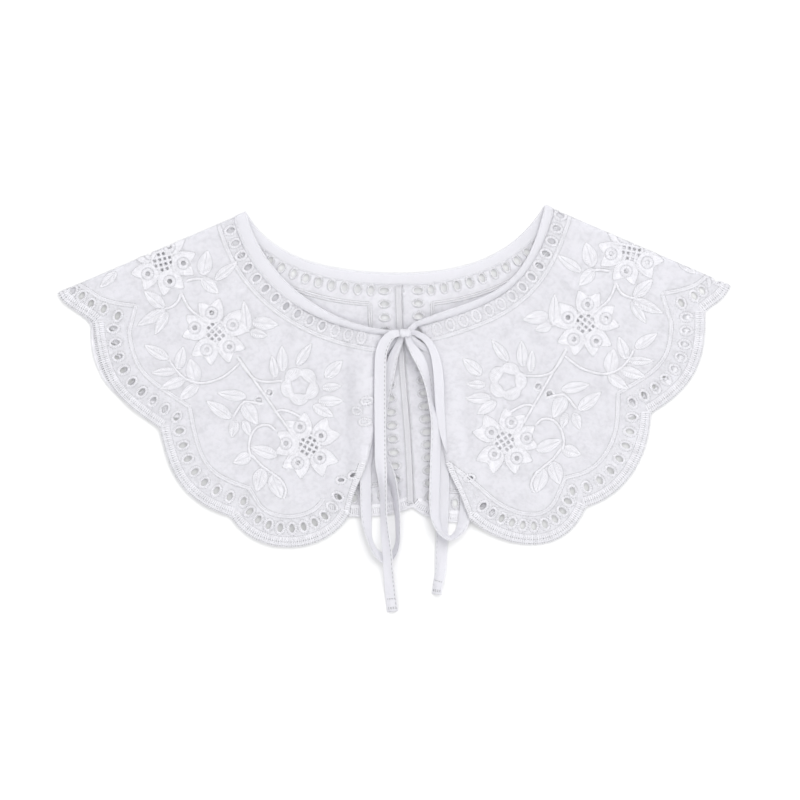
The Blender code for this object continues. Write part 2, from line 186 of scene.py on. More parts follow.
# Folds in the fronts: centre x, centre y, direction in degrees, half length, half width,
# height, which is negative in a hollow.
FOLDS = {
    "left": [
        (-36.0, -14.0, 92.0, 52.0, 6.0, -4.6),
        (-20.5, -22.0, 92.0, 48.0, 5.0, 1.8),
        (-122.0, 89.0, 20.0, 20.0, 6.0, 1.7),
        (-104.0, 54.0, 0.0, 20.0, 6.0, 1.4),
        (-71.0, -78.0, 0.0, 34.0, 20.0, 1.4),
    ],
    "right": [
        (48.0, -37.0, 90.0, 34.0, 5.0, -2.3),
        (119.0, 64.0, -52.0, 19.0, 4.5, 2.1),
        (97.0, 32.0, -44.0, 19.0, 4.5, 1.9),
        (144.0, -4.0, -76.0, 17.0, 4.0, 1.7),
        (177.0, 16.0, 0.0, 15.0, 5.0, 1.2),
        (88.0, -76.0, 0.0, 34.0, 20.0, 1.4),
    ],
}
CORNER_RISES = {"left": (-30.8, -93.5, 12.0, 0.6), "right": (51.0, -96.6, 15.0, 3.2)}
RISE_SPANS = {"left": (-50.0, -24.0), "right": (72.0, 38.0)}

KNOT_CENTRE = (8.7, 28.2, 8.4)
KNOT_SIZE = (8.6, 9.6, 8.4)
# The tape wrapped round it, and the curl where it comes out.
KNOT_SHIFT = (-1.4, 0.4, 0.0)
KNOT_HALF_WRAP = 3.9
KNOT_HALF_WIDTH = 2.9
KNOT_CURL = [(9.6, 26.6, 9.4, 40, 4.0), (11.2, 28.4, 9.8, 50, 4.2), (13.4, 28.9, 9.4, 46, 4.2),
             (16.4, 27.8, 8.6, 30, 4.4), (20.8, 25.0, 7.4, 16, 4.6), (24.8, 20.2, 6.8, 8, 5.0),
             (27.6, 13.6, 6.6, 4, 5.8), (29.4, 5.0, 6.5, 0, 6.6), (30.4, -6.0, 6.2, 0, 6.8),
             (31.0, -20.0, 5.8, -4, 6.4), (32.0, -32.0, 5.5, -6, 5.2), (33.8, -44.0, 5.2, -6, 3.2),
             (36.0, -53.0, 4.8, -6, 0.8)]

# Where the seam edge and the free edge of each band end go under the knot.
BAND_ENDS = {"left": [(4.6, 26.6, 8.6), (4.6, 31.0, 9.4)],
             "right": [(12.0, 28.0, 9.0), (8.8, 31.6, 10.0)]}

# Tapes: x, y, z of the middle, tilt of the tape's width in degrees, width.
TAPES = {
    "tie_tail_left": [
        (3.4, 28.6, 11.0, 10, 4.5), (-1.5, 27.4, 11.4, 12, 6.0), (-6.0, 22.6, 10.8, 10, 7.6),
        (-8.8, 15.0, 10.0, 6, 8.0), (-9.4, 4.0, 9.4, 4, 8.0), (-9.6, -12.0, 9.0, 2, 8.0),
        (-9.5, -28.0, 8.8, 2, 8.0), (-9.4, -44.0, 8.8, 4, 8.0), (-9.2, -58.0, 8.8, 10, 8.0),
        (-8.2, -70.0, 9.0, 40, 8.0), (-7.4, -82.0, 9.2, 58, 8.0), (-7.2, -94.0, 9.4, 58, 8.0),
        (-6.4, -106.0, 9.4, 46, 8.0), (-4.8, -120.0, 9.2, 36, 8.0), (-4.0, -132.0, 7.6, 32, 8.0),
        (-3.1, -142.0, 4.8, 28, 8.0), (-2.2, -151.0, 2.8, 24, 8.0), (-1.0, -160.4, 1.7, 18, 8.0),
    ],
    "tie_tail_right": [
        (7.6, 27.4, 5.4, 0, 3.6),
        (9.6, 21.8, 4.2, 0, 4.5), (13.8, 18.8, 4.0, 0, 6.6), (20.2, 13.2, 3.4, 0, 8.0),
        (25.2, 6.0, 2.9, 0, 8.0), (27.6, -2.0, 2.5, 0, 8.0), (28.6, -12.0, 2.3, 0, 8.0),
        (28.8, -24.0, 2.2, 0, 8.0), (29.6, -36.0, 2.2, 0, 8.0), (31.8, -47.0, 2.2, 0, 8.0),
        (33.2, -58.0, 2.2, 0, 8.0), (33.4, -72.0, 2.2, 0, 8.0), (33.2, -86.0, 2.2, 0, 8.0),
        (32.6, -98.0, 2.2, 0, 8.0), (32.4, -109.0, 1.4, 0, 8.0), (31.8, -122.0, 1.3, 6, 8.0),
        (31.2, -134.0, 2.4, 26, 8.0), (29.6, -142.0, 3.0, 36, 8.0), (28.8, -148.6, 2.9, 36, 8.0),
    ],
    "tie_loop_left": [
        (7.4, 27.6, 5.6, -6, 3.4),
        (3.6, 24.6, 4.6, -6, 4.0), (-3.0, 21.4, 4.2, -4, 6.0), (-10.0, 13.0, 3.0, 0, 8.0),
        (-14.4, 0.0, 2.8, 0, 8.0), (-16.9, -16.0, 2.9, 0, 8.0), (-17.6, -34.0, 2.9, 0, 8.0),
        (-18.2, -50.0, 2.9, 0, 8.0), (-19.6, -62.0, 3.2, -8, 8.0), (-19.4, -76.0, 4.4, -18, 8.0),
        (-19.2, -90.0, 4.4, -24, 8.0), (-18.4, -102.0, 4.2, -40, 8.0),
        (-16.6, -111.0, 4.2, -66, 8.0), (-12.8, -119.6, 4.0, -60, 8.0),
        (-6.4, -124.6, 3.5, -45, 8.0), (-0.6, -121.6, 4.0, -60, 8.0), (2.4, -113.0, 4.4, -68, 8.0),
        (2.4, -99.0, 5.2, -66, 8.0), (1.4, -86.0, 5.8, -62, 8.0), (-1.0, -73.0, 5.5, -50, 8.0),
        (-5.0, -63.0, 3.5, -14, 8.0), (-8.4, -54.0, 2.3, 0, 8.0), (-9.6, -42.0, 2.2, 0, 8.0),
        (-9.2, -28.0, 2.2, 0, 8.0), (-6.8, -13.0, 2.6, 0, 8.0), (-3.6, 1.0, 4.4, 0, 8.0),
        (-0.8, 12.0, 6.0, 0, 6.4), (3.2, 21.4, 7.0, 0, 4.4), (5.6, 27.6, 7.4, 0, 3.6),
    ],
    "tie_loop_right": [
        (8.8, 27.2, 9.6, 0, 4.0),
        (10.6, 21.4, 8.6, -6, 4.5), (14.4, 15.6, 8.4, -14, 7.0), (18.4, 8.4, 8.2, -30, 8.0),
        (21.4, -0.6, 7.8, -52, 8.0), (23.2, -9.0, 7.6, -66, 8.0), (25.0, -19.0, 7.4, -66, 8.0),
        (27.6, -30.0, 7.2, -49, 8.0), (28.2, -42.0, 6.4, -35, 8.0), (27.8, -58.0, 5.7, -30, 8.0),
        (27.4, -74.0, 5.6, -30, 8.0), (27.2, -88.0, 5.8, -32, 8.0), (28.4, -99.0, 6.6, -48, 8.0),
        (32.2, -107.0, 6.9, -68, 8.0), (38.2, -110.4, 6.4, -68, 8.0), (43.6, -106.6, 4.8, -52, 8.0),
        (46.4, -101.6, 3.5, -26, 8.0), (47.8, -95.6, 3.0, -8, 8.0), (48.8, -84.0, 2.6, 0, 8.0),
        (48.0, -68.0, 2.3, 0, 8.0), (46.4, -50.0, 2.2, 0, 8.0), (44.4, -32.0, 2.2, 0, 8.0),
        (42.4, -16.0, 2.6, 0, 8.0), (39.0, -2.0, 2.8, 0, 8.0), (33.2, 9.8, 3.1, 0, 7.2),
        (23.6, 16.8, 3.7, 0, 4.8), (14.8, 22.6, 5.9, 0, 4.4), (9.6, 27.4, 7.4, 0, 3.8),
    ],
}
TAPE_STEPS_PER_ROW = 6
FULL_HALF_WIDTH = 4.0
# How far from the tape's middle its two seams run.
TAPE_SEAM_ASIDE = 3.05
TAPE_EDGE_ASIDE = 3.782
# Bar tacks of a tail: how far from its end, and how far to each side.
TACK_PLACES = (2.0, 2.9, 9.0)
TACK_REACH = 3.5
# A folded tape's cross-section: share of its half width, share of its half thickness.
TAPE_EDGE = [(-1.0, 0.0), (-0.97, 0.9), (-0.86, 1.1), (-0.74, 0.7), (-0.5, 0.65), (-0.25, 0.62)]
TAPE_PROFILE = np.array(TAPE_EDGE + [(0.0, 0.6)] + [(-x, y) for x, y in TAPE_EDGE[::-1]]
                        + [(-x, -y) for x, y in TAPE_EDGE[1:]] + [(0.0, -0.6)]
                        + [(x, -y) for x, y in TAPE_EDGE[:0:-1]])

# ---------------------------------------------------------------- embroidery tables

# The design is worked for the left half; the right half turns it over with this slight skew.
TURN_OVER = ((-0.9906, -0.0958, 12.65), (-0.0517, 0.994, -0.50))
# The back repeats it, turned about the shoulder flower and worked smaller.
BACK_DESIGN_SCALE = 0.86
# How far from the fold the back's leaves and stems begin.
FOLD_CLEARANCE = 8.0
# Scattered stitches: square millimetres of ground for each, and how far off they keep.
GROUND_PER_SEED = 5.0
SEED_FROM_HEM = 1.4
SEED_FROM_EDGE = 1.2
SEED_FROM_EYELET = 4.6

# Leaves: base, tip, width.
LEAVES = [
    (-188.6, 70.4, -200.1, 59.5, 5.4), (-155.9, 45.9, -170.2, 57.5, 6.8),
    (-155.2, 44.5, -175.0, 33.7, 6.1), (-153.9, 43.2, -162.7, 27.5, 5.4),
    (-130.8, 66.3, -119.2, 55.4, 6.8), (-130.1, 67.7, -126.7, 85.3, 8.2),
    (-121.9, 64.9, -106.3, 77.2, 5.4), (-153.2, 11.2, -170.2, 20.7, 6.1),
    (-147.8, 3.1, -165.4, 1.7, 4.8), (-141.6, -2.4, -159.3, -9.2, 6.1),
    (-147.1, 3.7, -143.0, 20.1, 6.1), (-134.2, -5.1, -138.9, 11.9, 8.2),
    (-132.8, -5.8, -146.4, -16.7, 6.1), (-96.8, 36.4, -78.4, 34.3, 7.5),
    (-99.5, 28.9, -102.2, 51.3, 6.1), (-98.1, 29.6, -85.9, 26.9, 5.4),
    (-51.9, -17.3, -34.2, -17.3, 6.1), (-49.2, -8.5, -35.6, -7.1, 4.8),
    (-47.1, -1.7, -34.9, 10.5, 6.8), (-55.3, -20.1, -41.0, -28.2, 6.1),
    (-75.7, 2.4, -76.4, 20.7, 6.1), (-66.2, 6.5, -56.0, 22.1, 5.4),
    (-80.4, -1.7, -83.2, 13.9, 4.8), (-100.2, -14.6, -120.6, -11.9, 6.1),
    (-110.4, -28.9, -128.0, -17.3, 6.8), (-102.9, -18.0, -92.7, -33.7, 8.2),
    (-107.6, -30.3, -110.4, -42.5, 5.4), (-102.2, -30.3, -98.1, -41.1, 4.8),
    (-96.8, -54.1, -109.7, -59.5, 6.8), (-79.1, -54.7, -98.1, -48.6, 6.8),
    (-89.3, -62.9, -93.4, -79.2, 8.2), (-83.2, -67.0, -76.4, -84.0, 8.2),
]
STEMS = [
    [(-144.4, 55.4), (-141.6, 49.3), (-137.6, 43.9), (-132.1, 39.8), (-127.4, 36.4)],
    [(-106.3, 12.6), (-97.1, -0.5), (-87.9, -13.6), (-78.8, -26.7), (-69.6, -39.8)],
    [(-105.6, 7.8), (-115.1, -0.3), (-125.3, -4.4), (-133.5, -5.1), (-141.6, -2.4),
     (-147.8, 3.1), (-152.5, 9.9)],
    [(-155.9, 45.2), (-151.2, 46.6), (-147.1, 50.0), (-145.0, 55.4)],
    [(-141.0, 64.3), (-135.5, 65.6), (-130.8, 65.6)],
    [(-106.3, 11.9), (-100.8, 3.7), (-94.7, -2.4), (-86.6, -4.4), (-77.0, -3.7)],
    [(-81.1, -24.8), (-75.7, -23.5), (-68.9, -25.5), (-62.8, -28.9)],
    [(-81.1, -37.1), (-85.9, -33.7), (-92.7, -35.0), (-97.4, -41.1), (-98.8, -49.3),
     (-97.4, -54.7)],
    [(-96.8, -54.1), (-90.0, -61.5), (-83.2, -66.3), (-77.0, -71.1), (-73.6, -77.9),
     (-75.0, -83.3)],
    [(-90.0, -19.4), (-98.1, -18.0), (-102.9, -18.7), (-109.0, -27.5)],
]
BLOOM = (-64.1, -7.1)
# Flowers: centre, lattice turn in degrees, petal eyelets.
FLOWERS = [
    ((-157.3, 77.2), 14.0,
     [(-167.5, 69.0), (-152.5, 63.9), (-143.3, 76.2), (-152.9, 87.4), (-166.1, 82.6)]),
    ((-121.2, 29.6), 43.0,
     [(-124.0, 42.5), (-109.7, 34.3), (-112.1, 19.4), (-127.4, 17.3), (-135.5, 32.3)]),
    ((-58.3, -47.9), -30.0,
     [(-64.1, -35.0), (-49.8, -41.1), (-50.5, -56.1), (-65.5, -59.5), (-73.6, -46.2)]),
]
STEM_EYELETS = [(-84.9, -11.6), (-92.0, -17.0)]
# A petal's outline about its own line: how far out from the flower's middle, how far aside.
PETAL = [(6.6, 0.0), (6.9, 3.5), (9.0, 6.6), (13.0, 7.9), (17.5, 7.9), (21.6, 7.2),
         (20.6, 4.0), (19.0, 1.6), (18.6, 0.0)]

# Rows that follow the edges of the cloth: how far in.
EYELET_INSETS = {"hem": (12.0, 12.0, 12.0, 12.0), "edge": 8.0,
                 "front neck": {"left": 4.8, "right": 5.6}, "back neck": 4.4,
                 "centre": {"left": 12.0, "right": 11.0}}
BORDER_INSETS = {"hem": (20.0, 22.4, 21.8, 20.0), "edge": 0.5,
                 "front neck": {"left": 11.5, "right": 12.0}, "back neck": 14.0,
                 "centre": {"left": 22.0, "right": 20.5}}
# Spaces between the eyelets along each scallop; the first has its own, in TIP_EYELETS.
EYELET_COUNTS = (0, 9, 8, 11)
EYELET_PITCH = 9.3
BACK_EYELET_PITCH = 9.0
# Eyelets whose middles are closer than this aren't both worked.
EYELET_CLEARANCE = 6.2
# How many eyelets are ringed but left uncut: of the front neck's, from the knot, and of those
# beside the front edge, from the top.
UNCUT_NECK = {"left": 3, "right": 6}
UNCUT_EDGE = {"left": 3, "right": 0}
# How far from the shoulder the first eyelet of the front neck lies.
NECK_START = 3.0
# The row at the shoulder tip, from the fold inwards, and the few eyelets that the rolled
# front edge leaves in sight, as they lie.
TIP_EYELETS = {
    "left": [(-218.5, 57.5), (-212.4, 54.1), (-206.2, 48.6), (-197.4, 45.2), (-187.9, 40.5)],
    "right": [(219.4, 64.8), (214.7, 61.2), (209.2, 57.5), (203.8, 54.1), (195.0, 49.3)],
}
EDGE_EYELETS = {
    "left": [(-19.2, -17.3, 20.0), (-25.4, -24.1, -15.0), (-20.6, -31.6, 5.0),
             (-28.1, -67.7, 25.0), (-36.2, -71.1, 5.0)],
    "right": [(51.5, -69.7, 10.0)],
}
# The inner border at the shoulder tip, in the design's own place.
TIP_BORDER = [(-213.7, 61.4), (-206.5, 57.0), (-198.5, 52.0), (-187.0, 48.8), (-175.5, 47.4)]
EYELET = (3.35, 2.15)
EDGE_EYELET = (2.6, 1.6)
PETAL_EYELET = 2.15
STEM_EYELET = 2.4
LATTICE_RADIUS = 6.6
LATTICE_PITCH = 3.5
LEAF_FULLNESS = 1.2
LATTICE_HOLE = 0.95


# ---------------------------------------------------------------- curves in a plane

def smooth(value):
    """Rises gently from 0 to 1."""
    value = np.clip(value, 0.0, 1.0)
    return value * value * (3.0 - 2.0 * value)


def unit(vectors):
    """Vectors brought to a length of one."""
    return vectors / np.linalg.norm(vectors, axis=-1, keepdims=True)


def quarter_left(line):
    """A direction turned a quarter to the left."""
    return np.array([-line[1], line[0]])


def turned(angle):
    """The matrix that turns rows of points by an angle."""
    return np.array([[math.cos(angle), math.sin(angle)], [-math.sin(angle), math.cos(angle)]])


def oval(angles, length, breadth):
    """Points round the origin, at some angles."""
    return np.stack([np.cos(angles) * length, np.sin(angles) * breadth], axis=1)


def outline(start, stretches):
    """Dense points along a chain of cubic stretches."""
    points = [np.array([start], float)]
    share = (np.arange(1, CURVE_SAMPLES + 1) / CURVE_SAMPLES)[:, None]
    for first, second, end in stretches:
        begin = points[-1][-1]
        points.append((1 - share) ** 3 * begin + 3 * (1 - share) ** 2 * share * np.array(first)
                      + 3 * (1 - share) * share ** 2 * np.array(second)
                      + share ** 3 * np.array(end))
    return np.vstack(points)


def lengths(points):
    """Distance along a run of points, at each of them."""
    steps = np.linalg.norm(np.diff(points, axis=0), axis=1)
    return np.concatenate([[0.0], np.cumsum(steps)])


def read_along(distances, run, points):
    """Values at some distances, from those known at the distances of a run."""
    return np.stack([np.interp(distances, run, column) for column in points.T], axis=1)


def at_distances(points, distances):
    """Points at given distances along a run."""
    return read_along(distances, lengths(points), points)


def evenly(points, pitch=None, count=None, ends=True):
    """Points spaced evenly along a run, about a pitch apart."""
    total = lengths(points)[-1]
    count = count or max(int(round(total / pitch)), 1)
    shares = np.arange(count + 1) / count if ends else (np.arange(count) + 0.5) / count
    return at_distances(points, shares * total)


def headings(points):
    """Direction of travel at each point of a run, in radians."""
    step = np.gradient(points[:, :2], axis=0)
    return np.arctan2(step[:, 1], step[:, 0])


def curve_through(points, samples=8):
    """A smooth curve through the points of a table."""
    points = np.array(points, float)
    before = np.vstack([points[:1], points[:-1]])[:-1]
    after = np.vstack([points[1:], points[-1:]])[1:]
    start, end = points[:-1], points[1:]
    pieces = []
    for share in np.arange(samples) / samples:
        pieces.append(0.5 * (2 * start + (end - before) * share
                             + (2 * before - 5 * start + 4 * end - after) * share ** 2
                             + (3 * start - before - 3 * end + after) * share ** 3))
    curve = np.stack(pieces, axis=1).reshape(-1, points.shape[1])
    return np.vstack([curve, points[-1:]])


def parallel(points, distance, reach=0.0):
    """A run moved to its left by a distance, and carried straight on at both ends."""
    angle = headings(points)
    moved = points + distance * np.stack([-np.sin(angle), np.cos(angle)], axis=1)
    keep = [0]
    for k in range(1, len(moved)):
        step = moved[k] - moved[keep[-1]]
        if step @ (points[k] - points[keep[-1]]) > 0:
            keep.append(k)
    moved = moved[keep]
    if not reach:
        return moved
    first, last = moved[0] - moved[1], moved[-1] - moved[-2]
    return np.vstack([moved[0] + unit(first) * reach, moved, moved[-1] + unit(last) * reach])


def crossing(first, second):
    """Where two runs first cross: the distances along each, or None."""
    run_a, run_b = lengths(first), lengths(second)
    for i in range(len(first) - 1, 0, -1):
        a, b = first[i - 1], first[i]
        step = b - a
        c, d = second[:-1], second[1:]
        other = d - c
        across = step[0] * other[:, 1] - step[1] * other[:, 0]
        across = np.where(np.abs(across) < 1e-12, 1e-12, across)
        gap = c - a
        s = (gap[:, 0] * other[:, 1] - gap[:, 1] * other[:, 0]) / across
        t = (gap[:, 0] * step[1] - gap[:, 1] * step[0]) / across
        hits = np.nonzero((s >= 0) & (s <= 1) & (t >= 0) & (t <= 1))[0]
        if len(hits):
            j = hits[0]
            return (run_a[i - 1] + s[j] * np.linalg.norm(step),
                    run_b[j] + t[j] * np.linalg.norm(other[j]))
    return None


def part_of(points, low, high):
    """The part of a run between two distances."""
    run = lengths(points)
    inner = points[(run > low + 1e-6) & (run < high - 1e-6)]
    return np.vstack([at_distances(points, [low]), inner, at_distances(points, [high])])


def mitred(runs, insets):
    """Runs round an edge, each moved in by its inset and met with its neighbours."""
    reaches = [1.5 * inset + 4.0 for inset in insets]
    moved = [parallel(*given) for given in zip(runs, insets, reaches)]
    spans = [[reach, lengths(run)[-1] - reach] for run, reach in zip(moved, reaches)]
    for k in range(len(moved)):
        following = (k + 1) % len(moved)
        found = crossing(moved[k], moved[following])
        if found:
            spans[k][1], spans[following][0] = found
    return [part_of(run, low, high) for run, (low, high) in zip(moved, spans)]


def inside(points, polygon):
    """Which points lie inside a polygon."""
    result = np.zeros(len(points), bool)
    x, y = points[:, 0], points[:, 1]
    for (ax, ay), (bx, by) in zip(polygon, np.roll(polygon, -1, axis=0)):
        if ay == by:
            continue
        spans = (ay > y) != (by > y)
        result ^= spans & (x < (bx - ax) * (y - ay) / (by - ay) + ax)
    return result


def nearest(points, others):
    """Distance from each point to the nearest of the others."""
    result = np.empty(len(points))
    for k in range(0, len(points), 2000):
        gap = points[k:k + 2000, None] - others[None]
        result[k:k + 2000] = np.sqrt((gap ** 2).sum(axis=2).min(axis=1))
    return result


# ---------------------------------------------------------------- how the cloth lies

class Half:
    """One half of the collar: its outline in the cutting plane, and how it lies folded."""

    def __init__(self, side):
        self.side = side
        self.neck = np.array(SHOULDERS[side]["neck"])
        tip = np.array(SHOULDERS[side]["tip"])
        self.along = unit(tip - self.neck) * (1 if side == "left" else -1)
        self.across = quarter_left(self.along)
        self.level = FRONT_LEVELS[side]
        self.radius = (self.level - BACK_LEVEL) / 2
        self.turn = math.pi * self.radius / 2
        self.hem_points = outline(tip, FRONT_HEMS[side])
        self.edge_points = evenly(outline(FRONT_NECKS[side][-1][2], FRONT_EDGES[side]), 0.5)
        self.measure_lift()
        front_hem = self.split(self.opened(self.hem_points, 1))
        back_hem = self.split(self.opened(outline(tip, BACK_HEMS[side]), -1))
        front_neck = outline(self.neck, FRONT_NECKS[side])
        back_neck = outline(self.neck, BACK_NECKS[side])
        front_edge = outline(front_neck[-1], FRONT_EDGES[side])
        centre = outline(back_neck[-1], CENTRE_BACK)
        self.runs = {
            "front hem": front_hem,
            "edge": [self.opened(front_edge, 1)[::-1]],
            "front neck": [self.opened(front_neck, 1)[::-1]],
            "back neck": [self.opened(back_neck, -1)],
            "centre": [self.opened(centre, -1)],
            "back hem": [run[::-1] for run in back_hem[::-1]],
        }
        self.loop = [run for runs in self.runs.values() for run in runs]
        self.border = np.vstack([run[:-1] for run in self.loop])
        x, y = self.border.T
        area = 0.5 * np.sum(x * np.roll(y, -1) - np.roll(x, -1) * y)
        self.cut_area = abs(area)
        self.inward = 1 if area > 0 else -1

    def split(self, points):
        """A chain of stretches as its separate runs."""
        starts = range(0, len(points) - 1, CURVE_SAMPLES)
        return [points[start:start + CURVE_SAMPLES + 1] for start in starts]

    def opened(self, plan, layer):
        """Points of the front (layer 1) or back (-1) as they lie, in the cutting plane."""
        gap = np.asarray(plan, float) - self.neck
        out = gap @ self.across
        start = self.radius + FOLD_MARGIN
        down = np.where(out > start, out - start + self.turn,
                        self.turn * np.maximum(out, 0) / start)
        return np.stack([gap @ self.along, layer * down], axis=1)

    def fold_height(self, row, plan):
        """Height that one row of the folds table gives."""
        centre_x, centre_y, degrees, half_length, half_width, height = row
        angle = math.radians(degrees)
        dx, dy = plan[:, 0] - centre_x, plan[:, 1] - centre_y
        lengthways = (dx * math.cos(angle) + dy * math.sin(angle)) / half_length
        crossways = (dy * math.cos(angle) - dx * math.sin(angle)) / half_width
        return height * np.exp(-lengthways ** 2 * np.abs(lengthways) - crossways ** 2)

    def front_lift(self, plan):
        """How far the front stands above its lowest level."""
        low, high = RISE_SPANS[self.side]
        rise = FRONT_EDGE_RISE * smooth((plan[:, 0] - low) / (high - low))
        rise *= 1.0 - NECK_EASE * smooth(plan[:, 1] / NECK_EASE_REACH)
        height = FRONT_PUFF + rise + sum(self.fold_height(row, plan) for row in FOLDS[self.side])
        out = (plan - self.neck) @ self.across
        ease = smooth(out / FOLD_REACH) * smooth(nearest(plan, self.hem_points) / HEM_REACH)
        corner_x, corner_y, spread, corner_rise = CORNER_RISES[self.side]
        gap = np.hypot(plan[:, 0] - corner_x, plan[:, 1] - corner_y)
        height = (height + np.hypot(height, HOLLOW_ROUNDING)) / 2
        return height * ease + corner_rise * np.exp(-(gap / spread) ** 2)

    def measure_lift(self):
        """Works out the lift once on a fine grid."""
        low = np.minimum(self.hem_points.min(0) - LIFT_MARGIN, LIFT_AREA[0])
        high = np.maximum(self.hem_points.max(0) + LIFT_MARGIN, LIFT_AREA[1])
        self.grid_origin = low
        counts = np.ceil(high - low).astype(int) + 1
        xs, ys = np.meshgrid(np.arange(counts[0]), np.arange(counts[1]), indexing="ij")
        plan = np.stack([xs.ravel() + low[0], ys.ravel() + low[1]], axis=1)
        self.grid = self.front_lift(plan).reshape(xs.shape)

    def lift(self, plan):
        """The front's lift, read from the grid."""
        place = np.clip(plan - self.grid_origin, 0, np.array(self.grid.shape) - 1.001)
        cell = place.astype(int)
        sx, sy = (place - cell).T
        i, j = cell.T
        g = self.grid
        return (g[i, j] * (1 - sx) * (1 - sy) + g[i + 1, j] * sx * (1 - sy)
                + g[i, j + 1] * (1 - sx) * sy + g[i + 1, j + 1] * sx * sy)

    def back_stand(self, plan):
        """How far the back stands off the table: it follows the front a little."""
        clear = smooth((np.abs(plan[:, 0] - TIED_SPAN[0]) - TIED_SPAN[1]) / TIED_SPAN[2])
        cap = TIED_FOLLOW + FREE_FOLLOW * clear
        under = BACK_FOLLOWS[self.side] * np.minimum(self.lift(plan), cap)
        for x, y, reach, rise in BACK_BILLOWS[self.side]:
            away = ((plan[:, 0] - x) ** 2 + (plan[:, 1] - y) ** 2) / reach ** 2
            under = under + rise * np.exp(-away)
        return np.maximum(back_rise(plan), under)

    def surface(self, flat):
        """The middle of the cloth, in millimetres, at points of the cutting plane."""
        turn = np.clip(flat[:, 1] / self.radius, -math.pi / 2, math.pi / 2)
        beyond = np.maximum(np.abs(flat[:, 1]) - self.turn, 0.0)
        out = self.radius * (1 - np.cos(turn)) + FOLD_MARGIN + beyond
        plan = self.neck + flat[:, :1] * self.along + out[:, None] * self.across
        height = (BACK_LEVEL + self.level) / 2 + self.radius * np.sin(turn)
        front = flat[:, 1] > 0
        wave = smooth(beyond / RIPPLE_FADE)
        over = self.lift(plan) + ripple(plan, 0) * wave
        under = self.back_stand(plan) + np.abs(ripple(plan, 1)) * BACK_RIPPLE * wave
        height = height + np.where(front, over, under)
        drop, lean = self.roll(plan, height)
        return np.column_stack([plan[:, 0] + np.where(front, lean, 0.0), plan[:, 1],
                                height - np.where(front, drop, 0.0)])

    def roll(self, plan, height):
        """How far the front edge's roll brings the cloth down, and how far over."""
        drop, lean = np.zeros(len(plan)), np.zeros(len(plan))
        close = np.nonzero(np.abs(plan[:, 0] - self.edge_points[:, 0].mean()) < ROLL_REACH)[0]
        if len(close):
            share = np.clip(1 - nearest(plan[close], self.edge_points)
                            / ROLL_WIDTHS[self.side], 0.0, 1.0)
            depth = np.maximum(height[close] - ROLL_LEVELS[self.side], 0.0)
            drop[close] = depth * fade(plan[close, 1], ROLL_SPAN) * share ** 2
            lean[close] = EDGE_LEANS[self.side] * fade(plan[close, 1], LEAN_SPAN) * share
        return drop, lean

    def laid(self, flat, height):
        """Points of the cutting plane, and heights off the cloth's middle, where they lie."""
        east, south = (self.surface(flat + step) - self.surface(flat - step)
                       for step in (np.array([0.3, 0.0]), np.array([0.0, 0.3])))
        return self.surface(flat) + unit(np.cross(east, south)) * height[:, None]


def fade(y, span):
    """1 in the middle of a span and 0 past its ends."""
    top, upper, lower, bottom = span
    return smooth((top - y) / (top - upper)) * smooth((y - bottom) / (lower - bottom))


def back_rise(plan):
    """How far the back stands off the table between the fronts."""
    neck = smooth((plan[:, 1] - NECK_RISE_FROM) / NECK_RISE_OVER)
    out = np.abs(plan[:, 0] - BACK_RISE_MIDDLE)
    reach, soft = (low + (high - low) * neck for low, high in (BACK_RISE_REACH, BACK_RISE_EDGE))
    share = smooth((reach - out) / soft)
    return (BACK_RISE + NECK_RISE * neck) * share


def ripple(plan, layer):
    """Slow waves in laid cloth."""
    draw = np.random.default_rng(RIPPLE_SEED + layer)
    total = np.zeros(len(plan))
    for wave in RIPPLE_WAVES:
        angle, phase = draw.uniform(0, 2 * math.pi, 2)
        travel, aside = (plan @ turned(angle).T).T
        bend = RIPPLE_BEND * np.sin(aside / RIPPLE_BEND_OVER + phase)
        rise = RIPPLE_HEIGHT * wave / RIPPLE_WAVES[0]
        total += rise * np.sin((travel + bend) * 2 * math.pi / wave + phase)
    return total


# ---------------------------------------------------------------- node trees

class Wire:
    """A socket of a node tree. Arithmetic on it adds Math nodes."""

    def __init__(self, bench, socket):
        self.bench, self.socket = bench, socket

    def beside(self, name):
        """Another output of the same node."""
        return Wire(self.bench, pick(self.socket.node.outputs, name))

    def math(self, operation, first, second=0.0):
        """One Math node."""
        return self.bench.add("ShaderNodeMath", {"operation": operation}, {0: first, 1: second})

    def __add__(self, other):
        return self.math("ADD", self, other)

    def __sub__(self, other):
        return self.math("SUBTRACT", self, other)

    def __mul__(self, other):
        return self.math("MULTIPLY", self, other)

    def __pow__(self, other):
        return self.math("POWER", self, other)

    def __rsub__(self, other):
        return self.math("SUBTRACT", other, self)

    __radd__ = __add__
    __rmul__ = __mul__

    def least(self, other):
        """The lower of two values."""
        return self.math("MINIMUM", self, other)

    def sine(self):
        """Its sine."""
        return self.math("SINE", self)


def pick(sockets, key):
    """A live socket, by number, name or identifier."""
    if isinstance(key, int):
        return sockets[key]
    live = [socket for socket in sockets if socket.enabled]
    return next(socket for socket in live if key in (socket.name, socket.identifier))


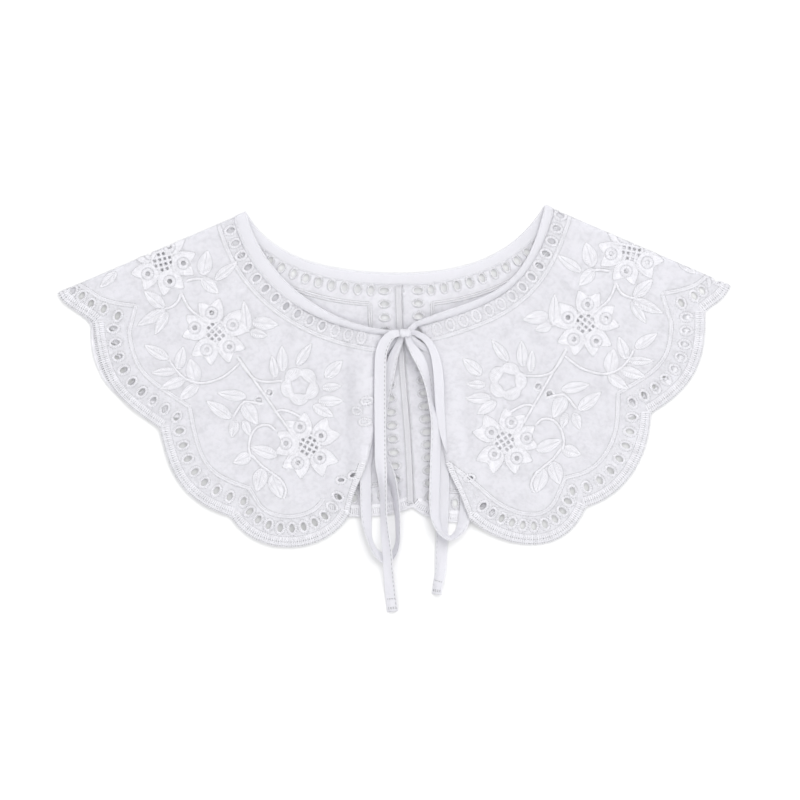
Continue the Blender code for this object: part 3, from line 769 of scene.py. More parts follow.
class Bench:
    """Puts nodes into one tree."""

    def __init__(self, tree):
        self.tree = tree

    def add(self, kind, settings=None, inputs=None, out=0):
        """A node of a kind, its settings, then the values or links of its sockets."""
        node = self.tree.nodes.new(kind)
        for name, value in (settings or {}).items():
            if name == "stops":
                for stop, (place, shade) in zip(node.color_ramp.elements, value):
                    stop.position, stop.color = place, (shade, shade, shade, 1.0)
            else:
                setattr(node, name, value)
        for key, value in (inputs or {}).items():
            socket = pick(node.inputs, key)
            if isinstance(value, Wire):
                self.tree.links.new(value.socket, socket)
            else:
                socket.default_value = value
        if not len(node.outputs):
            return node
        return Wire(self, pick(node.outputs, out) if isinstance(out, str) else
                    next(socket for socket in node.outputs if socket.enabled))


    def noise(self, place, scale, detail=2.0, roughness=0.5):
        """A noise pattern's value."""
        return self.add("ShaderNodeTexNoise", None, {
            "Vector": place, "Scale": scale, "Detail": detail, "Roughness": roughness}, "Fac")

    def bump(self, strength, distance, height):
        """A relief for a finish's normals."""
        return self.add("ShaderNodeBump", None, {"Strength": strength, "Distance": distance,
                                                 "Height": height})

    def surface(self, shader):
        """Ends a finish with its shader."""
        self.add("ShaderNodeOutputMaterial", None, {"Surface": shader})


def stitch_tree():
    """Geometry Nodes: a padded stitch on each point, turned and sized by attributes."""
    tree = bpy.data.node_groups.new("stitch_run", "GeometryNodeTree")
    faces = tree.interface
    faces.new_socket("Geometry", in_out="INPUT", socket_type="NodeSocketGeometry")
    for name, kind, value in (("Thread", "NodeSocketMaterial", None),
                              ("Segments", "NodeSocketInt", 3), ("Sides", "NodeSocketInt", 4),
                              ("Arch", "NodeSocketFloat", 0.45), ("Taper", "NodeSocketFloat", 0.6),
                              ("Wander", "NodeSocketFloat", 0.05), ("Seed", "NodeSocketInt", 7)):
        socket = faces.new_socket(name, in_out="INPUT", socket_type=kind)
        if value is not None:
            socket.default_value = value
    faces.new_socket("Geometry", in_out="OUTPUT", socket_type="NodeSocketGeometry")
    bench = Bench(tree)
    given = bench.add("NodeGroupInput")
    line = bench.add("GeometryNodeCurvePrimitiveLine", None,
                     {"Start": (-0.5, 0.0, 0.0), "End": (0.5, 0.0, 0.0)})
    line = bench.add("GeometryNodeResampleCurve", None,
                     {"Curve": line, "Count": given.beside("Segments") + 1})
    share = bench.add("GeometryNodeSplineParameter", None, None, "Factor")
    bow = (share * 2 - 1) ** 2
    drop = bench.add("ShaderNodeCombineXYZ", None, {"Z": bow * given.beside("Arch") * -1})
    line = bench.add("GeometryNodeSetPosition", None, {"Geometry": line, "Offset": drop})
    line = bench.add("GeometryNodeSetCurveRadius", None,
                     {"Curve": line, "Radius": 1 - bow * bow * given.beside("Taper")})
    ring = bench.add("GeometryNodeCurvePrimitiveCircle", None,
                     {"Resolution": given.beside("Sides"), "Radius": 0.5})
    thread = bench.add("GeometryNodeCurveToMesh", None,
                       {"Curve": line, "Profile Curve": ring, "Fill Caps": True})
    thread = bench.add("GeometryNodeSetShadeSmooth", None, {"Geometry": thread})
    turn = bench.add("GeometryNodeInputNamedAttribute", {"data_type": "FLOAT"}, {"Name": "turn"},
                     "Attribute")
    size = bench.add("GeometryNodeInputNamedAttribute", {"data_type": "FLOAT_VECTOR"},
                     {"Name": "size"}, "Attribute")
    stray = bench.add("FunctionNodeRandomValue", {"data_type": "FLOAT"},
                      {"Min": -1.0, "Max": 1.0, "Seed": given.beside("Seed")}, "Value")
    angle = bench.add("ShaderNodeCombineXYZ", None, {"Z": turn + stray * given.beside("Wander")})
    result = bench.add("GeometryNodeInstanceOnPoints", None,
                       {"Points": given.beside("Geometry"), "Instance": thread,
                        "Rotation": angle, "Scale": size})
    ply = bench.add("FunctionNodeRandomValue", {"data_type": "FLOAT"},
                    {"Seed": given.beside("Seed") + 1}, "Value")
    result = bench.add("GeometryNodeStoreNamedAttribute",
                       {"data_type": "FLOAT", "domain": "INSTANCE"},
                       {"Geometry": result, "Name": "ply", "Value": ply})
    result = bench.add("GeometryNodeRealizeInstances", None, {"Geometry": result})
    result = bench.add("GeometryNodeSetMaterial", None,
                       {"Geometry": result, "Material": given.beside("Thread")})
    bench.add("NodeGroupOutput", None, {"Geometry": result})
    return tree


def the_tree():
    """The stitch tree, made once."""
    return bpy.data.node_groups.get("stitch_run") or stitch_tree()


# ---------------------------------------------------------------- finishes

SEWING_THREAD = (0.74, 0.735, 0.765)
# Painted shade: dark thread for the shadowed needle holes of the tapes and their tacks.
NEEDLE_SHADE = (0.40, 0.40, 0.415)
SEAM_CLOTH = (0.76, 0.755, 0.785)
TABLE_TOP = (0.77, 0.77, 0.77)


def new_finish(name):
    """An empty material and its bench."""
    material = bpy.data.materials.new(name)
    material.use_nodes = True
    material.node_tree.nodes.clear()
    return material, Bench(material.node_tree)


def tint(bench, colour, shade, strength):
    """A colour darkened a little where a value is low."""
    dark = [channel * (1 - strength) for channel in colour]
    return bench.add("ShaderNodeMix", {"data_type": "RGBA"},
                     {"Factor": shade, "A": (*dark, 1.0), "B": (*colour, 1.0)}, "Result")


def cloth_finish(name, colour, weave, depth, through, crumple, stipple=0.0, patchy=0.0):
    """Woven cotton: crossing threads, slubs and a soft crumple, lit through a little."""
    material, bench = new_finish(name)
    place = bench.add("ShaderNodeUVMap", {"uv_map": "cut"}, None, "UV")
    across = bench.add("ShaderNodeSeparateXYZ", None, {"Vector": place}, "X")
    down = across.beside("Y")
    warp, weft = (across * (2 * math.pi / weave)).sine(), (down * (2 * math.pi / weave)).sine()
    threads = (warp * 0.5 + 0.5) + (weft * 0.5 + 0.5)
    drawn_out = bench.add("ShaderNodeMapping", None,
                          {"Vector": place, "Scale": (140.0, 1300.0, 1.0)})
    slub = bench.noise(drawn_out, 1.0)
    soft = bench.noise(place, 95.0, 4.0, 0.55)
    creased = bench.noise(place, 380.0, 3.0, 0.6)
    height = threads * (depth * 0.25) + slub * (depth * 0.6)
    height = height + soft * crumple + creased * (0.12 + stipple)
    if patchy:
        shade = (soft * 0.45 + creased * 0.55 - 0.5) * 5.0 + 0.74
    else:
        shade = (slub * 0.5 + creased * 0.5).least(1.0)
    principled = bench.add("ShaderNodeBsdfPrincipled", None, {
        "Base Color": tint(bench, colour, shade, patchy or 0.05),
        "Roughness": 0.72 + slub * 0.15,
        "Normal": bench.bump(0.6, 0.0009, height), "Sheen Weight": 0.12,
        "Sheen Roughness": 0.5, "Specular IOR Level": 0.25})
    lit = bench.add("ShaderNodeBsdfTranslucent", None, {"Color": (*colour, 1.0)})
    bench.surface(bench.add("ShaderNodeMixShader", None, {0: through, 1: principled, 2: lit}))
    return material


def thread_finish(name, colour):
    """Embroidery thread: a soft gloss and a fine twist."""
    material, bench = new_finish(name)
    place = bench.add("ShaderNodeTexCoord", None, None, "Object")
    twist, skein = bench.noise(place, 1900.0), bench.noise(place, 160.0)
    ply = bench.add("ShaderNodeAttribute", {"attribute_type": "GEOMETRY",
                                            "attribute_name": "ply"}, None, "Fac")
    principled = bench.add("ShaderNodeBsdfPrincipled", None, {
        "Base Color": tint(bench, colour, ply * 0.8 + skein * 0.2, 0.16),
        "Roughness": 0.5 + twist * 0.12,
        "Normal": bench.bump(0.35, 0.0002, twist), "Sheen Weight": 0.2,
        "Sheen Roughness": 0.4, "Specular IOR Level": 0.3})
    bench.surface(principled)
    return material


def floor_finish(name, colour):
    """A smooth, pale table top."""
    material, bench = new_finish(name)
    place = bench.add("ShaderNodeTexCoord", None, None, "Object")
    bench.surface(bench.add("ShaderNodeBsdfPrincipled", None, {
        "Base Color": tint(bench, colour, bench.noise(place, 60.0), 0.01), "Roughness": 0.9,
        "Specular IOR Level": 0.0}))
    return material


def finish(name, maker, *values):
    """A material, made the first time it is asked for."""
    return bpy.data.materials.get(name) or maker(name, *values)


def plain_cotton(name):
    """The plain cotton of the tapes and the neckband."""
    colour = tuple(bpy.context.scene.collar_tape.colour)
    return finish(name, cloth_finish, colour, 0.0004, 0.5, 0.38, 0.12)


def sewing_thread():
    """The thread that the collar is sewn with."""
    return finish("sewing_thread", thread_finish, SEWING_THREAD)


# ---------------------------------------------------------------- meshes

def linked(item):
    """Puts an object in the scene."""
    bpy.context.scene.collection.objects.link(item)
    return item


def new_piece(name, points, faces, material, uv=None):
    """An object at the origin with its place in its mesh; points are in millimetres."""
    mesh = bpy.data.meshes.new(name)
    mesh.from_pydata([tuple(point) for point in np.asarray(points, float) * MM], [],
                     [tuple(int(k) for k in face) for face in faces])
    mesh.validate()
    mesh.update()
    if uv is not None:
        layer = mesh.uv_layers.new(name="cut")
        corner = np.empty(len(mesh.loops), int)
        mesh.loops.foreach_get("vertex_index", corner)
        layer.data.foreach_set("uv", (np.asarray(uv)[corner] * MM).ravel())
    mesh.shade_smooth()
    mesh.materials.append(material)
    return linked(bpy.data.objects.new(name, mesh))


def stitch_piece(name, rows, material, carry, **looks):
    """Stitches by Geometry Nodes in the cutting plane, then carried to where they lie.

    Each row is x, y, height of the middle, turn, length, width, thickness. The looks are inputs
    of the stitch tree that differ from its own."""
    rows = np.vstack([row for row in rows if len(row)])
    mesh = bpy.data.meshes.new(name + "_marks")
    mesh.from_pydata([tuple(point) for point in rows[:, :3] * MM], [], [])
    mesh.attributes.new("turn", "FLOAT", "POINT").data.foreach_set("value", rows[:, 3])
    mesh.attributes.new("size", "FLOAT_VECTOR", "POINT").data.foreach_set(
        "vector", (rows[:, 4:7] * MM).ravel())
    marks = linked(bpy.data.objects.new(name + "_marks", mesh))
    modifier = marks.modifiers.new("Stitches", "NODES")
    modifier.node_group = the_tree()
    inputs = {item.name: item.identifier for item in modifier.node_group.interface.items_tree
              if item.in_out == "INPUT"}
    for key, value in {"Thread": material, **looks}.items():
        modifier[inputs[key]] = value
    bpy.context.view_layer.update()
    evaluated = marks.evaluated_get(bpy.context.evaluated_depsgraph_get())
    result = bpy.data.meshes.new_from_object(evaluated)
    result.name = name
    bpy.data.objects.remove(marks, do_unlink=True)
    bpy.data.meshes.remove(mesh)
    flat = np.empty(len(result.vertices) * 3, np.float32)
    result.vertices.foreach_get("co", flat)
    flat = flat.reshape(-1, 3).astype(float) / MM
    result.vertices.foreach_set("co", (carry(flat) * MM).astype(np.float32).ravel())
    for attribute in [a.name for a in result.attributes if a.name in ("turn", "size")]:
        result.attributes.remove(result.attributes[attribute])
    result.update()
    return linked(bpy.data.objects.new(name, result))


def settle(piece, slot, *nodes):
    """Rides a finished piece on the collar and hides the imported parts that it stands in for."""
    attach(piece, "root")
    if nodes:
        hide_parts(*nodes)
    return piece


def work(side, part, rows, shaded=False, **looks):
    """One piece of a half's embroidery, in satin thread or in dark thread that paints the shade of
    needle holes and worked outlines.
    """
    settings = bpy.context.scene.collar_stitch
    if shaded:
        thread = finish("pricked_shade", thread_finish, tuple(settings.shade))
        looks["Arch"] = 0.0
    else:
        thread = finish("satin_thread", thread_finish, tuple(settings.colour))
    looks = {"Segments": 2, "Seed": settings.seed, **looks}
    half, _ = half_of(side)
    piece = stitch_piece(f"panel_{side}_{part}", rows, thread, carrier(half), **looks)
    settle(piece, "embroidered_cloth")


# ---------------------------------------------------------------- stitch layouts

THREAD_LIFT = 0.10
# Running stitches: pitch, length, width, thickness.
TAPE_SEAM = (3.1, 1.3, 0.45, 0.3)
# This row and the tack holes below are dark stitches of painted shade, for needle holes.
TAPE_HOLE_SHADE = {"wide": (3.1, 1.6, 0.6, 0.3), "fine": (3.7, 1.2, 0.3, 0.3)}
TAPE_EDGE_SEAM = (1.4, 1.25, 0.4, 0.3)
TACK = (1.6, 0.9, 0.4, 0.3)
TACK_HOLE_SHADE = (1.6, 0.8, 0.45, 0.3)
# Painted shadow and shade: a dark line at the hem's very edge stands for its shadow, and dark dots
# run along the hem's middle.
HEM_EDGE_SHADOW = (1.5, 1.7, 0.55, 0.4)
HEM_DOTS = (2.1, 1.1, 0.3, 0.3)
BAND_SEAM = (2.2, 1.6, 0.4, 0.25)
BACK_SEAM = (2.2, 1.5, 0.4, 0.35)
# Corded lines: pitch, length, width, thickness, slant.
HEM_CORD = (1.3, 1.7, 0.7, 0.9, 0.1)
BORDER_CORD = (1.15, 1.5, 0.75, 0.7, 0.5)
PETAL_CORD = (1.2, 1.5, 0.7, 0.75, 0.3)
BLOOM_OUTER_CORD = (1.1, 1.5, 0.8, 0.75, 0.6)
BLOOM_INNER_CORD = (1.1, 1.5, 0.7, 0.75, 0.6)
LATTICE_BAR = (0.9, 1.4, 0.9, 0.8, 0.6)
LATTICE_RING = (0.9, 1.6, 0.9, 0.8, 0.9)
STEM_CORD = (0.95, 2.2, 0.95, 0.95, 0.6)
# Dark stitches of painted shade, where needle holes and worked edges would hold shadow: pitch,
# length, width.
HEM_SHADE_MARKS = (1.6, 1.2, 0.3)
LINE_SHADE_MARKS = (1.8, 1.2, 0.3)
RIM_SHADE_MARKS = (1.7, 1.0, 0.26)
MIDRIB_SHADE_MARKS = (1.3, 0.8, 0.3)
PETAL_EYELET_SHADE_MARKS = (1.5, 1.0, 0.36)
# Satin threads lie a little closer than their pitch, so that they overlap.
SATIN_COVER = 0.95
SATIN_THICKNESS = 0.75
LEAF_PITCH = 1.15
PETAL_PITCH = 1.2


def row_of(points, turn, length, width, thickness, lift=THREAD_LIFT):
    """Stitch rows at points."""
    count = len(points)
    columns = [np.broadcast_to(np.asarray(value, float), (count,))
               for value in (lift, turn, length, width, thickness)]
    return np.column_stack([points[:, 0], points[:, 1], *columns])


def stitches_between(starts, ends, width, thickness, lift=THREAD_LIFT):
    """Stitches from one point to another."""
    gap = ends - starts
    size = np.linalg.norm(gap, axis=1)
    keep = size > 0.5
    return row_of(((starts + ends) / 2)[keep], np.arctan2(gap[:, 1], gap[:, 0])[keep],
                  size[keep], width, thickness, lift)


def cord_stitches(points, pitch, length, width, thickness, slant):
    """A corded line: short slanting stitches packed along it."""
    spots = evenly(points, pitch)
    return row_of(spots, headings(spots) + slant, length, width, thickness)


def run_stitches(points, pitch, length, width, thickness, lift=THREAD_LIFT):
    """A dotted line of running stitches."""
    spots = evenly(points, pitch, ends=False)
    if len(spots) < 2:
        return np.zeros((0, 7))
    return row_of(spots, headings(spots), length, width, thickness, lift)


def shade_marks(points, pitch=1.5, length=0.95, width=0.34):
    """Dark stitches of painted shade, standing for the shadowed needle holes where a worked edge
    draws the cloth down.
    """
    return run_stitches(points, pitch, length, width, 0.3, 0.14)


def rim_stitches(eyelet):
    """Satin stitches round an eyelet, from its hole outwards; slighter ones on the back."""
    wide, thickness = (eyelet.wide, 1.0) if eyelet.y > 0 else (eyelet.wide * 0.78, 0.6)
    count = max(int(round(math.pi * (eyelet.length + eyelet.breadth + wide))), 12)
    angles = np.arange(count) * 2 * math.pi / count
    inner, outer = (np.array(eyelet[:2]) + oval(angles, eyelet.length + out, eyelet.breadth + out)
                    @ turned(eyelet.turn) for out in (-0.1, wide))
    return stitches_between(inner, outer, 1.15, thickness)


def rim_shade_marks(eyelet, out):
    """Dark stitches of painted shade round an eyelet, that far out from its hole."""
    ring = oval(np.linspace(0, 2 * math.pi, 24), eyelet.length + out, eyelet.breadth + out)
    return shade_marks(np.array(eyelet[:2]) + ring @ turned(eyelet.turn), *RIM_SHADE_MARKS)


def leaf_reach(width, share):
    """How far a leaf's edge stands from its midrib."""
    return width / 2 * np.sin(math.pi * np.minimum(share * 1.02, 1.0) ** 0.8) ** 0.75


def leaf_half(base, tip, width, hand, count=24):
    """One edge of a leaf, from its base to its tip."""
    share = np.arange(count + 1) / count
    aside = quarter_left(unit(tip - base))
    return base + np.outer(share, tip - base) + np.outer(leaf_reach(width, share), aside) * hand


def leaf_stitches(base, tip, width):
    """A satin leaf: threads slanting out from its midrib to both edges."""
    size = np.linalg.norm(tip - base)
    along = (tip - base) / size
    count = max(int(size / LEAF_PITCH), 6)
    share = (np.arange(count) + 0.5) / count
    out = np.minimum(share * size + leaf_reach(width, share) * 0.75, size * 0.995) / size
    rows = []
    for hand in (-1, 1):
        start = base + np.outer(share * size * 0.96, along) + quarter_left(along) * 0.25 * hand
        end = read_along(out, np.linspace(0, 1, 61), leaf_half(base, tip, width, hand, 60))
        rows.append(stitches_between(start, end, LEAF_PITCH * SATIN_COVER, SATIN_THICKNESS))
    return np.vstack(rows)


def leaf_shade_marks(base, tip, width):
    """Dark stitches of painted shade along both edges of a leaf and down its midrib."""
    rows = [shade_marks(leaf_half(base, tip, width + 0.7, hand)) for hand in (-1, 1)]
    midrib = np.array([base * 0.9 + tip * 0.1, base * 0.15 + tip * 0.85])
    rows.append(shade_marks(midrib, *MIDRIB_SHADE_MARKS))
    return rows


def petal_outline(centre, eyelet, scale):
    """Points round a petal, whose line runs from the flower's middle through its eyelet."""
    line = unit(eyelet - centre)
    half = np.array(PETAL) * scale
    ring = np.vstack([half, half[-2:0:-1] * [1, -1], half[:1]])
    points = centre + ring[:, :1] * line + ring[:, 1:] * quarter_left(line)
    return evenly(points, count=60)


def petal_stitches(centre, eyelet, scale):
    """A petal: satin threads from round its eyelet out to the outline, then a corded edge."""
    edge = evenly(petal_outline(centre, eyelet, scale), PETAL_PITCH, ends=False)
    gap = edge - eyelet
    size = np.linalg.norm(gap, axis=1)[:, None]
    ring = eyelet + gap / size * 4.7 * scale
    keep = size[:, 0] > 5.3 * scale
    fill = stitches_between(ring[keep], edge[keep], PETAL_PITCH * SATIN_COVER, SATIN_THICKNESS)
    return [fill, cord_stitches(petal_outline(centre, eyelet, scale), *PETAL_CORD)]


def petal_shade_marks(centre, eyelet, scale):
    """Dark stitches of painted shade round a petal and round its eyelet."""
    edge = petal_outline(centre, eyelet, scale)
    middle = edge.mean(axis=0)
    ring = eyelet + oval(np.linspace(0, 2 * math.pi, 24), 4.15 * scale, 4.15 * scale)
    return [shade_marks(middle + (edge - middle) * 1.07), shade_marks(ring, *PETAL_EYELET_SHADE_MARKS)]


# A hole: where it is, its turn, half length, half breadth and the rim's width.
Hole = namedtuple("Hole", "x y turn length breadth wide")


def hole(centre, turn=0.0, length=EYELET[0], breadth=EYELET[1], wide=1.3):
    """An eyelet, or another hole with its sizes given."""
    return Hole(centre[0], centre[1], turn, length, breadth, wide)


def round_hole(centre, radius, wide):
    """A round hole."""
    return hole(centre, 0.0, radius, radius, wide)


def row_eyelets(run, count=None, pitch=EYELET_PITCH, ends=(True, True)):
    """Eyelets along a row, long ways across it."""
    spots = evenly(run, pitch, count)
    angle = headings(spots) + math.pi / 2
    chosen = range(0 if ends[0] else 1, len(spots) - (0 if ends[1] else 1))
    return [hole(spots[k], angle[k]) for k in chosen]


class Design:
    """Everything worked on one half, in its cutting plane."""

    def __init__(self, half):
        self.half = half
        self.side = half.side
        self.middle = self.chart(np.array([FLOWERS[0][0]]), 1)[0]
        self.rows()
        self.motifs()

    def chart(self, points, layer):
        """Points of the design table in the cutting plane, on the front or the back."""
        points = np.array(points, float)
        if self.side == "right":
            turn = np.array(TURN_OVER)
            points = points @ turn[:, :2].T + turn[:, 2]
        gap = points - self.half.neck
        start = self.half.radius + FOLD_MARGIN
        flat = np.stack([gap @ self.half.along,
                         gap @ self.half.across - start + self.half.turn], axis=1)
        if layer == 1:
            return flat
        gap = flat - self.middle
        return self.middle + gap * [BACK_DESIGN_SCALE, -BACK_DESIGN_SCALE]

    def moved_in(self, table):
        """The mitred rows at the insets of a table."""
        half = self.half
        insets = []
        for name in half.runs:
            inset = table["hem" if name.endswith("hem") else name]
            inset = inset[self.side] if isinstance(inset, dict) else inset
            many = inset if isinstance(inset, tuple) else (inset,)
            many = many[::-1] if name == "back hem" else many
            insets += [value * half.inward for value in many]
        if half.inward > 0:
            return mitred(half.loop, insets)
        turned = mitred([run[::-1] for run in half.loop[::-1]], [-v for v in insets[::-1]])
        return [run[::-1] for run in turned[::-1]]

    def rows(self):
        """Rows that follow the edges."""
        self.eyelet_rows = self.moved_in(EYELET_INSETS)
        self.border_rows = self.moved_in(BORDER_INSETS)
        self.names = [name for name, runs in self.half.runs.items() for _ in runs]
        tip = self.half.opened(TIP_EYELETS[self.side], 1)
        across_tip = headings(tip) + math.pi / 2
        holes = [hole(point * [1, sign], sign * turn) for sign in (1, -1)
                 for point, turn in zip(tip, across_tip)]
        for x, y, degrees in EDGE_EYELETS[self.side]:
            angle = math.radians(degrees)
            start, end = self.half.opened([(x, y), (x + math.cos(angle), y + math.sin(angle))], 1)
            holes.append(hole(start, math.atan2(*(end - start)[::-1]), *EDGE_EYELET))
        first = len(holes) - len(EDGE_EYELETS[self.side])
        uncut = holes[first:first + UNCUT_EDGE[self.side]]
        hem_number = 0
        for name, run in zip(self.names, self.eyelet_rows):
            hem_number += name.endswith("hem")
            if name == "front hem" and hem_number > 1:
                holes += row_eyelets(run, EYELET_COUNTS[hem_number - 1],
                                     ends=(hem_number != 2, hem_number != 4))
            elif name == "front neck":
                count = int((lengths(run)[-1] - NECK_START) / EYELET_PITCH)
                span = part_of(run[::-1], NECK_START, NECK_START + count * EYELET_PITCH)
                holes += row_eyelets(span, count)
                uncut += holes[-UNCUT_NECK[self.side]:]
            elif name in ("back neck", "centre"):
                holes += row_eyelets(run, pitch=BACK_EYELET_PITCH, ends=(name == "centre", False))
            elif name == "back hem" and hem_number < 8:
                holes += row_eyelets(run, ends=(True, hem_number != 7))
        kept = []
        for item in holes:
            if all(math.hypot(item.x - other.x, item.y - other.y) > EYELET_CLEARANCE
                   for other in kept):
                kept.append(item)
        self.row_holes = kept
        self.open_rows = [item for item in kept if item not in uncut]
        self.uncut = [item for item in kept if item in uncut]
        self.border_lines = self.borders()

    def borders(self):
        """The inner border's lines, led into the ones at the shoulder tip."""
        lines, hem_number = [], 0
        tip = {1: self.chart(TIP_BORDER, 1), 8: self.chart(TIP_BORDER, 1) * [1, -1]}
        for name, run in zip(self.names, self.border_rows):
            hem = name.endswith("hem")
            hem_number += hem
            if hem and hem_number in tip:
                lines.append(curve_through(tip[hem_number], 6))
            elif hem and hem_number in (2, 7):
                first = hem_number == 2
                lines.append(self.meet(run, tip[1 if first else 8][-1], first))
            elif name != "edge":
                lines.append(run)
        return lines

    def meet(self, run, point, at_start):
        """A run that begins or ends at a point instead of where it did."""
        run = run if at_start else run[::-1]
        near = np.linalg.norm(run - point, axis=1).argmin()
        result = np.vstack([point, run[near + 3:]])
        return result if at_start else result[::-1]

    def motifs(self):
        """Flowers, leaves and stems."""
        self.leaves, self.stems, self.petals, self.centres = [], [], [], []
        self.blooms, self.small_holes = [], []
        inner = np.vstack(self.border_rows)
        for layer in (1, -1):
            size = 1.0 if layer == 1 else BACK_DESIGN_SCALE
            for base_x, base_y, tip_x, tip_y, width in LEAVES:
                base, tip = self.chart([(base_x, base_y), (tip_x, tip_y)], layer)
                if layer == -1 and not self.fits(np.array([base, tip]), inner):
                    continue
                self.leaves.append((base, tip, width * size * LEAF_FULLNESS))
            for stem in STEMS:
                path = self.chart(stem, layer)
                if layer == -1 and not self.fits(path, inner):
                    continue
                self.stems.append(curve_through(path))
            for number, (centre, degrees, eyelets) in enumerate(FLOWERS):
                if layer == -1 and number == 0:
                    continue
                middle = self.chart([centre], layer)[0]
                if layer == -1 and not inside(middle[None], inner).all():
                    continue
                slant = turned(math.radians(degrees))[0]
                lean = self.chart([np.array(centre) + slant], layer)[0] - middle
                self.centres.append((middle, math.atan2(lean[1], lean[0]), size))
                for eyelet in self.chart(eyelets, layer):
                    self.petals.append((middle, eyelet, size))
                    self.small_holes.append(round_hole(eyelet, PETAL_EYELET * size, 1.6 * size))
            bloom = self.chart([BLOOM], layer)[0]
            if layer == 1 or inside(bloom[None], inner).all():
                self.blooms.append((bloom, size))
                for spot in self.chart(STEM_EYELETS, layer):
                    self.small_holes.append(round_hole(spot, STEM_EYELET * size, 1.3 * size))

    def fits(self, points, inner):
        """Whether points of the back lie clear of the fold and within the inner border."""
        return points[:, 1].max() <= -FOLD_CLEARANCE and inside(points, inner).all()

    def seed_stitches(self, seed, hem):
        """Small scattered stitches in the ground between the edges and the inner border."""
        draw = np.random.default_rng(seed)
        low, high = self.half.border.min(0), self.half.border.max(0)
        spots = draw.uniform(low, high, (int(np.prod(high - low) / GROUND_PER_SEED), 2))
        hems = np.vstack([run for name in ("front hem", "back hem")
                          for run in self.half.runs[name]])
        spots = spots[inside(spots, self.half.border)]
        spots = spots[~inside(spots, np.vstack(self.border_rows))]
        spots = spots[nearest(spots, hems) > hem + SEED_FROM_HEM]
        spots = spots[nearest(spots, self.half.border) > SEED_FROM_EDGE]
        middles = np.array([item[:2] for item in self.row_holes])
        spots = spots[(nearest(spots, middles) > SEED_FROM_EYELET) & (spots[:, 1] > 0)]
        return row_of(spots, draw.uniform(0, math.pi, len(spots)), 1.3, 0.5, 0.5)

    def lattice_holes(self):
        """The round holes of each flower's lattice."""
        holes = []
        for middle, turn, size in self.centres:
            steps = np.arange(-3, 4) * LATTICE_PITCH * size + LATTICE_PITCH * size / 2
            spots = np.array([(x, y) for x in steps for y in steps])
            spots = spots[np.hypot(*spots.T) < LATTICE_RADIUS * size]
            holes += [round_hole(middle + spot, LATTICE_HOLE * size, 0.0)
                      for spot in spots @ turned(turn)]
        return holes

    def all_holes(self):
        """Every hole cut through the cloth."""
        return self.open_rows + self.small_holes + self.lattice_holes()


HALVES = {}


def half_of(side):
    """One half and its design, worked out once."""
    if side not in HALVES:
        half = Half(side)
        HALVES[side] = (half, Design(half))
    return HALVES[side]


DRAWN_THROUGH = 0.24


def carrier(half):
    """Carries stitches from the cutting plane to where the cloth lies.

    The back's right side faces down, so its threads are drawn through to its wrong side."""
    def carry(flat):
        return half.laid(flat[:, :2], flat[:, 2] - np.where(flat[:, 1] < 0, DRAWN_THROUGH, 0.0))

    return carry


# ---------------------------------------------------------------- settings

class ClothSettings(bpy.types.PropertyGroup):
    """Sizes and colour of the woven cloth."""
    wall: FloatProperty(name="Thickness", description="Thickness of one layer of cloth",
                        default=0.00026, min=0.0001, max=0.001, unit="LENGTH")
    spacing: FloatProperty(name="Net", description="Spacing of the cloth's points",
                           default=0.002, min=0.001, max=0.005, unit="LENGTH")
    weave: FloatProperty(name="Weave", description="From one thread of the weave to the next",
                         default=0.00045, min=0.0002, max=0.002, unit="LENGTH")
    through: FloatProperty(name="Light through",
                           description="Share of light the cloth lets through",
                           default=0.48, min=0.0, max=0.9, subtype="FACTOR")
    colour: FloatVectorProperty(name="Colour", description="Colour of the cloth",
                                default=(0.93, 0.925, 0.955), size=3, min=0, max=1, subtype="COLOR")


class StitchSettings(bpy.types.PropertyGroup):
    """Sizes and colour of the embroidery."""
    pitch: FloatProperty(name="Pitch", description="From one satin stitch to the next",
                         default=0.0014, min=0.0004, max=0.002, unit="LENGTH")
    hem_width: FloatProperty(name="Hem width", description="Width of the satin hem",
                             default=0.0054, min=0.002, max=0.008, unit="LENGTH")
    seed: IntProperty(name="Seed", description="Seed of the small irregularities", default=7)
    colour: FloatVectorProperty(name="Colour", description="Colour of the embroidery thread",
                                default=(0.71, 0.705, 0.735), size=3, min=0, max=1, subtype="COLOR")
    # The shade colour is painted shade: dark thread laid where needle holes and worked outlines
    # would hold shadow.
    shade: FloatVectorProperty(name="Shade", description="Colour of the pricked outlines",
                               default=(0.42, 0.42, 0.437), size=3, min=0, max=1, subtype="COLOR")


class TapeSettings(bpy.types.PropertyGroup):
    """Sizes and colour of the ties and the neckband."""
    wall: FloatProperty(name="Thickness", description="Thickness of the folded tape",
                        default=0.0005, min=0.0002, max=0.0009, unit="LENGTH")
    colour: FloatVectorProperty(name="Colour", description="Colour of the tape",
                                default=(0.87, 0.865, 0.90), size=3, min=0, max=1, subtype="COLOR")


class StageSettings(bpy.types.PropertyGroup):
    """Camera and light."""
    height: FloatProperty(name="Camera height", description="Height of the camera",
                          default=3.022, min=0.5, max=10.0, unit="LENGTH")
    lens: FloatProperty(name="Lens", description="Focal length in millimetres", default=200.0,
                        min=20.0, max=400.0)
    dome: FloatProperty(name="Dome", description="Strength of the soft light all round",
                        default=1.0, min=0.0, max=5.0)
    key: FloatProperty(name="Key", description="Power of the main soft light", default=38.0,
                       min=0.0, max=2000.0, unit="POWER")


# ---------------------------------------------------------------- operators

# The cloth's net: spacing round its border, the rows of a triangular net, how close it comes
# to the border and the holes, holes small enough for fewer sides, and how far in counts as in.
BORDER_SPACING = 1.3
NET_ROW = 0.866
NET_CLEARANCE = 0.55
SMALL_HOLE = 1.5
WITHIN_HOLE = 0.93
FLOOR_REACH = 6000.0
# The floor lies this far under the collar, in metres.
FLOOR_DROP = 0.0001
CAMERA_OVER = (0.0039, -0.0167)


